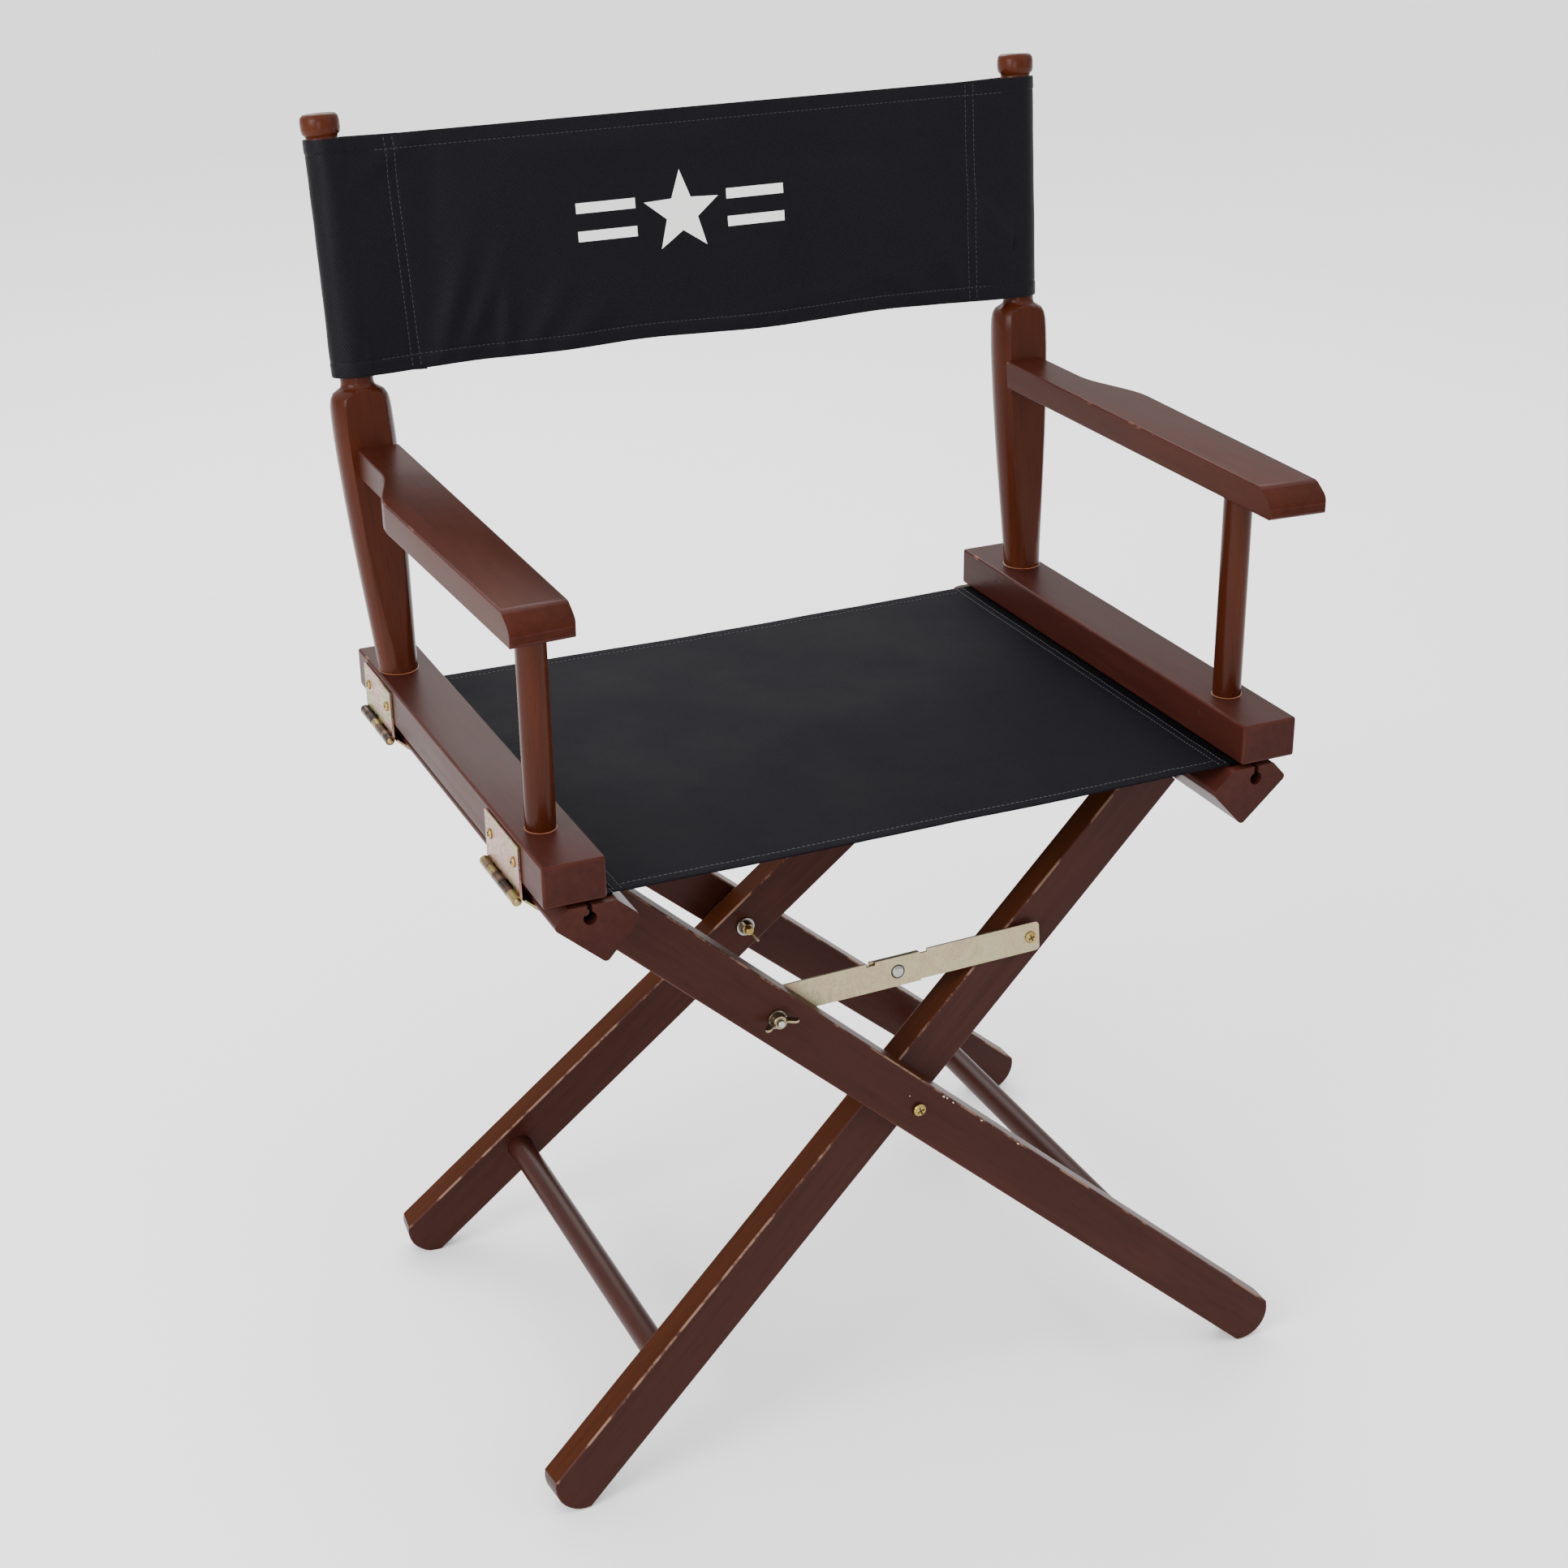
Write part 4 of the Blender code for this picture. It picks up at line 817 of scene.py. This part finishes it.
def stitch_rows(name, rows, thread):
    """Stitches along rows.

    Each row is a function from a place to a point and an outward direction, with the place's two ends.
    """
    work = bmesh.new()
    for point, start, stop in rows:
        count = int(abs(stop - start) / STITCH_PITCH)
        for i in range(count):
            here = start + (stop - start) * (i + 0.5) / count
            step = 0.001 if stop > start else -0.001
            at, out = point(here)
            ahead, _ = point(here + step)
            add_stitch(work, at, ahead - at, out)
    bmesh.ops.recalc_face_normals(work, faces=work.faces)
    return to_object(name, work, Matrix.Identity(4), [thread], 60)


# ---------------------------------------------------------------- seat

seat_low, seat_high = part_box("seat_canvas_left")
SEAT_FRONT, SEAT_REAR = seat_low[1], seat_high[1]


def seat_edge_shift(x, y):
    """Moves the free edges a little in and out, most near them."""
    front = max(0.0, 1.0 - (y - SEAT_FRONT) / 0.03)
    rear = max(0.0, 1.0 - (SEAT_REAR - y) / 0.03)
    bow = 0.0016 * (1.0 - (x / SEAT_HALF_X) ** 2)
    front *= bow + 0.0005 * ripple(x, 0.0, 0.05, 3.1)
    rear *= bow + 0.0005 * ripple(x, 0.0, 0.05, 7.7)
    return front - rear


def seat_height(x, y):
    """The seat's top: a slight sag, hems, sewn lines and the small puckers that they make."""
    edge = min(y - SEAT_FRONT, SEAT_REAR - y)
    rim = SEAT_HALF_X - abs(x)
    z = SEAT_TOP - SEAT_SAG * (1.0 - (x / SEAT_HALF_X) ** 2)
    z += 0.00035 * ripple(x, y, 0.11, 1.3) * min(1.0, rim / 0.05)
    z += 0.00022 * ripple(x * 0.35, y, 0.010, 5.2) * exp(-rim / 0.022)
    z += 0.00020 * ripple(x, y * 0.4, 0.008, 8.8) * exp(-abs(edge - SEAT_HEM) / 0.006)
    z += 0.00030 * (1.0 / (1.0 + exp((edge - SEAT_HEM) / 0.0004)))
    z -= 0.00030 * groove(edge - SEAT_HEM)
    for line in SEAT_SEAMS:
        z -= 0.00028 * groove(abs(x) - line)
    z -= 0.00035 * exp(-max(edge, 0.0) / 0.0006)
    return z


def seat_top(x, y):
    return Vector((x, y + seat_edge_shift(x, y), seat_height(x, y)))


def seat_bottom(x, y):
    """The seat's underside, thicker at the hems, with its free edges rounded."""
    edge = min(y - SEAT_FRONT, SEAT_REAR - y)
    fold = 0.0006 / (1.0 + exp((edge - SEAT_HEM - 0.001) / 0.0004))
    thick = SEAT_CLOTH + fold * min(1.0, (SEAT_HALF_X - abs(x)) / 0.01)
    point = seat_top(x, y)
    rounding = 0.0004 * exp(-max(edge, 0.0) / 0.0006)
    return Vector((point.x, point.y, point.z - thick + 2 * rounding))


def build_seat():
    """The seat canvas as one cloth, and its stitches."""
    fine_x = [(-SEAT_HALF_X, -0.203), (0.203, SEAT_HALF_X)]
    fine_y = [(SEAT_FRONT, SEAT_FRONT + 0.012), (SEAT_REAR - 0.012, SEAT_REAR)]
    columns = steps_between(-SEAT_HALF_X, SEAT_HALF_X, fine_x, 0.0045, 0.0007)
    rows = steps_between(SEAT_FRONT, SEAT_REAR, fine_y, 0.0028, 0.0007)
    seat = cloth_grid("seat_cloth", columns, rows, seat_top, seat_bottom, lambda x, y: (x, y), SEAT_CANVAS)
    up = Vector((0, 0, 1))
    lines = []
    for x in [side * line for side in (-1, 1) for line in SEAT_SEAMS]:
        lines.append((lambda y, x=x: (seat_top(x, y), up), SEAT_FRONT + 0.002, SEAT_REAR - 0.002))
    for y in (SEAT_FRONT + SEAT_HEM, SEAT_REAR - SEAT_HEM):
        lines.append((lambda x, y=y: (seat_top(x, y), up), -0.208, 0.208))
    stitches = stitch_rows("seat_stitches", lines, SEAT_THREAD)
    for piece in (seat, stitches):
        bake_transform(piece)
    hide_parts("seat_canvas_left", "seat_canvas_right")


# ---------------------------------------------------------------- back

BACK_OUT = Vector((0.0, -1.0, POST_LEAN)).normalized()
BACK_MIDDLE = (BACK_LOW + BACK_HIGH) / 2
BACK_REACH = POST_X + POST_SPLAY * BACK_MIDDLE * UPRIGHT_SHARE


def tangent(seam_x, depth, turn):
    """The angle where a line from a seam beside a post touches the sleeve."""
    return atan2(depth, -seam_x) + turn * acos(SLEEVE_RADIUS / hypot(seam_x, depth))


def run_between(start, stop, step):
    """Points from a start to a stop, without the start, about a step apart."""
    count = max(1, round(hypot(stop[0] - start[0], stop[1] - start[1]) / step))
    return [(start[0] + (stop[0] - start[0]) * i / count, start[1] + (stop[1] - start[1]) * i / count)
            for i in range(1, count + 1)]


FRONT_STEPS = steps_between(0.0, BACK_SEAMS[1], [(0.200, 0.22)], 0.004, 0.001)


def sleeve_path():
    """One half of the cloth seen from above, from the chair's middle round the post to the flap's end.

    Points are (inwards of the post, behind its axis), every millimetre or so.
    """
    seam = BACK_REACH - BACK_SEAMS[1]
    flap_depth = BACK_DEPTH + 2.2 * BACK_CLOTH
    first, last = tangent(seam, BACK_DEPTH, 1), tangent(seam, flap_depth, -1)
    front = [(BACK_REACH - distance, BACK_DEPTH) for distance in FRONT_STEPS]
    here = (SLEEVE_RADIUS * cos(first), SLEEVE_RADIUS * sin(first))
    path = front + run_between((seam, BACK_DEPTH), (-here[0], here[1]), 0.0015)
    sweep = (last - first) % (2 * pi)
    for i in range(1, 28):
        angle = first + sweep * i / 28
        path.append((-SLEEVE_RADIUS * cos(angle), SLEEVE_RADIUS * sin(angle)))
    end = (-SLEEVE_RADIUS * cos(last), SLEEVE_RADIUS * sin(last))
    path.append(end)
    path += run_between(end, (seam, flap_depth), 0.0015)
    path += run_between((seam, flap_depth), (BACK_REACH - BACK_FLAP_END, flap_depth), 0.001)
    return path


PATH = sleeve_path()
LENGTHS = [0.0]
for before, after in zip(PATH, PATH[1:]):
    LENGTHS.append(LENGTHS[-1] + hypot(after[0] - before[0], after[1] - before[1]))
FLAT_END = LENGTHS[len(FRONT_STEPS) - 1]

# Soft folds in the back: middle (x, height), direction in degrees, length, width and depth
BACK_FOLDS = (
    ((-0.183, 0.244), 70, 0.040, 0.0075, 0.0034), ((-0.163, 0.240), 63, 0.034, 0.0065, 0.0030),
    ((-0.146, 0.232), 84, 0.026, 0.0055, 0.0036), ((-0.118, 0.226), 55, 0.030, 0.0075, 0.0024),
    ((-0.092, 0.219), 35, 0.030, 0.0080, 0.0018), ((-0.190, 0.312), 84, 0.045, 0.0100, -0.0016),
    ((0.228, 0.262), 128, 0.034, 0.0075, 0.0034), ((0.192, 0.238), 112, 0.030, 0.0070, 0.0018),
    ((0.150, 0.226), 140, 0.040, 0.0100, 0.0016), ((0.060, 0.216), 8, 0.090, 0.0080, 0.0014),
    ((-0.060, 0.338), 177, 0.120, 0.0110, 0.0022), ((0.080, 0.322), 176, 0.090, 0.0100, -0.0018),
    ((-0.215, 0.345), 30, 0.030, 0.0070, 0.0018),
)


def path_frame(index):
    """The point and the outward direction at a place on the path."""
    before, after = PATH[max(index - 1, 0)], PATH[min(index + 1, len(PATH) - 1)]
    dx, dy = before[0] - after[0], after[1] - before[1]
    long = hypot(dx, dy)
    return PATH[index], (-dy / long, -dx / long)


def back_relief(side, index, height):
    """How far the cloth stands out from its path: folds, hems, sewn lines and looseness in the sleeve."""
    x = side * (BACK_REACH - PATH[index][0])
    on_front = LENGTHS[index] <= FLAT_END + 0.035
    edge = min(height - BACK_LOW, BACK_HIGH - height)
    out = 0.0006 * ripple(x, height, 0.07, 2.4)
    if on_front:
        for at, angle, length, width, size in BACK_FOLDS:
            out += size * ridge(x, height, at, angle, length, width)
        for line in BACK_SEAMS:
            out -= 0.00030 * groove(abs(x) - line)
    else:
        out = 0.0004 * ripple(LENGTHS[index] * 3, height, 0.03, side * 4.1) * (1.0 if side < 0 else 0.5)
    out -= 0.00030 * groove(edge - BACK_HEM)
    out += 0.00025 / (1.0 + exp((edge - BACK_HEM) / 0.0004))
    pucker = 0.00018 * ripple(LENGTHS[index] * 2.2, height, 0.010, 6.0 + side)
    out += pucker * exp(-abs(edge - BACK_HEM) / 0.006)
    out -= 0.0003 * exp(-max(edge, 0.0) / 0.0006)
    return out


def back_point(side, index, height, lift=0.0):
    """A point of the cloth, lifted outwards from its path. height runs up along the posts."""
    (inwards, depth), (turn_in, turn_back) = path_frame(index)
    loose = 0.0
    if side < 0 and inwards < 0:
        loose = SLEEVE_SLACK * max(0.0, (BACK_MIDDLE + 0.05 - height)) / 0.12
    inwards += turn_in * (lift + loose)
    depth += turn_back * lift
    wave = HEM_WAVE * ripple(LENGTHS[index] * side, 0.0, 0.09, 9.3)
    share_low = max(0.0, 1.0 - (height - BACK_LOW) / 0.04)
    level = (height + share_low * wave) * UPRIGHT_SHARE - POST_LEAN * depth
    post = POST_X + POST_SPLAY * level
    middle_share = max(inwards / BACK_REACH, 0.0)
    distance = post * (1.0 - middle_share) - min(inwards, 0.0)
    return Vector((side * distance, POST_Y + mid_y + POST_LEAN * level + depth, RAIL_TOP + level))


def back_columns():
    """Places along the whole cloth: (side, index), from the left flap's end to the right one's."""
    last = len(PATH)
    return [(-1, i) for i in range(last - 1, 0, -1)] + [(1, i) for i in range(last)]


def back_front(column, height):
    """The cloth's outer surface, which is its front between the posts."""
    side, index = column
    return back_point(side, index, height, back_relief(side, index, height) + BACK_CLOTH / 2)


def back_rear(column, height):
    """The cloth's inner surface, thicker at the hems, with its edges rounded."""
    side, index = column
    edge = min(height - BACK_LOW, BACK_HIGH - height)
    hem = 0.0005 / (1.0 + exp((edge - BACK_HEM) / 0.0004))
    flap = 0.0 if LENGTHS[index] < FLAT_END - 0.012 else 1.0
    rounding = 0.0003 * exp(-max(edge, 0.0) / 0.0006)
    thick = BACK_CLOTH / 2 + hem * (1.0 - flap) - rounding
    return back_point(side, index, height, back_relief(side, index, height) - thick)


def front_index(x):
    """The path's place nearest an x on the front of the cloth."""
    flat = [i for i in range(len(PATH)) if LENGTHS[i] <= FLAT_END + 0.012]
    return min(flat, key=lambda i: abs(BACK_REACH - PATH[i][0] - abs(x)))


def front_point(x, height):
    """A point on the front of the back canvas at any x, between the path's places, and the way out there."""
    side = 1 if x >= 0 else -1
    index = front_index(x)
    other = index + (1 if BACK_REACH - PATH[index][0] < abs(x) else -1)
    other = max(other, 0)
    first = back_front((side, index), height)
    second = back_front((side, other), height)
    here, there = BACK_REACH - PATH[index][0], BACK_REACH - PATH[other][0]
    share = 0.0 if index == other else (abs(x) - here) / (there - here)
    return first.lerp(second, share), BACK_OUT


def build_motif():
    """A plain printed star with two short bars on each side, generic and without lettering."""
    centre_x, centre_h, radius = -0.012, 0.289, 0.029
    star = []
    for i in range(10):
        reach = radius if i % 2 == 0 else radius * 0.42
        angle = pi / 2 + i * pi / 5
        star.append((centre_x + reach * cos(angle), centre_h + reach * sin(angle)))
    loops = [star]
    for side in (-1, 1):
        for level in (-0.0095, 0.0095):
            near, far = centre_x + side * 0.034, centre_x + side * 0.077
            low, high = centre_h + level - 0.0035, centre_h + level + 0.0035
            loops.append([(near, low), (far, low), (far, high), (near, high)])
    work = bmesh.new()
    layer = work.loops.layers.uv.new("cloth")
    for loop in loops:
        face = work.faces.new([work.verts.new((x, h, 0.0)) for x, h in loop])
        bmesh.ops.triangulate(work, faces=[face])
    for _ in range(3):
        long_edges = [edge for edge in work.edges if edge.calc_length() > 0.004]
        bmesh.ops.subdivide_edges(work, edges=long_edges, cuts=1, use_grid_fill=True)
        bmesh.ops.triangulate(work, faces=work.faces)
    for face in work.faces:
        for loop in face.loops:
            loop[layer].uv = loop.vert.co.xy
    for vert in work.verts:
        vert.co = front_point(vert.co.x, vert.co.y)[0]
    shell = bmesh.ops.extrude_face_region(work, geom=list(work.faces))
    for element in shell["geom"]:
        if isinstance(element, bmesh.types.BMVert):
            element.co += BACK_OUT * PRINT_THICKNESS
    bmesh.ops.recalc_face_normals(work, faces=work.faces)
    return to_object("back_motif", work, Matrix.Identity(4), [PRINT], 60)


def build_back():
    """The back canvas with its sleeves as one cloth, and its stitches and print."""
    fine = [(BACK_LOW, BACK_LOW + 0.013), (BACK_HIGH - 0.013, BACK_HIGH)]
    rows = steps_between(BACK_LOW, BACK_HIGH, fine, 0.0032, 0.0007)
    columns = back_columns()
    cloth = cloth_grid("back_cloth", columns, rows, back_front, back_rear,
                       lambda c, h: (c[0] * LENGTHS[c[1]], h), BACK_CANVAS)
    lines = []
    for x in [side * line for side in (-1, 1) for line in BACK_SEAMS]:
        lines.append((lambda h, x=x: front_point(x, h), BACK_LOW + 0.002, BACK_HIGH - 0.002))
    for height in (BACK_LOW + BACK_HEM, BACK_HIGH - BACK_HEM):
        lines.append((lambda x, h=height: front_point(x, h), -0.238, 0.238))
    stitches = stitch_rows("back_stitches", lines, BACK_THREAD)
    motif = build_motif()
    for piece in (cloth, stitches, motif):
        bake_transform(piece)
    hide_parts("back_canvas_left", "back_canvas_right")


build_stage()
build_wood()
build_glue_and_holes()
dress_cad_pieces()
build_hinge_screws()
build_bolt_heads()
build_rivet_painted_shadow()
build_scuffs()
build_seat()
build_back()
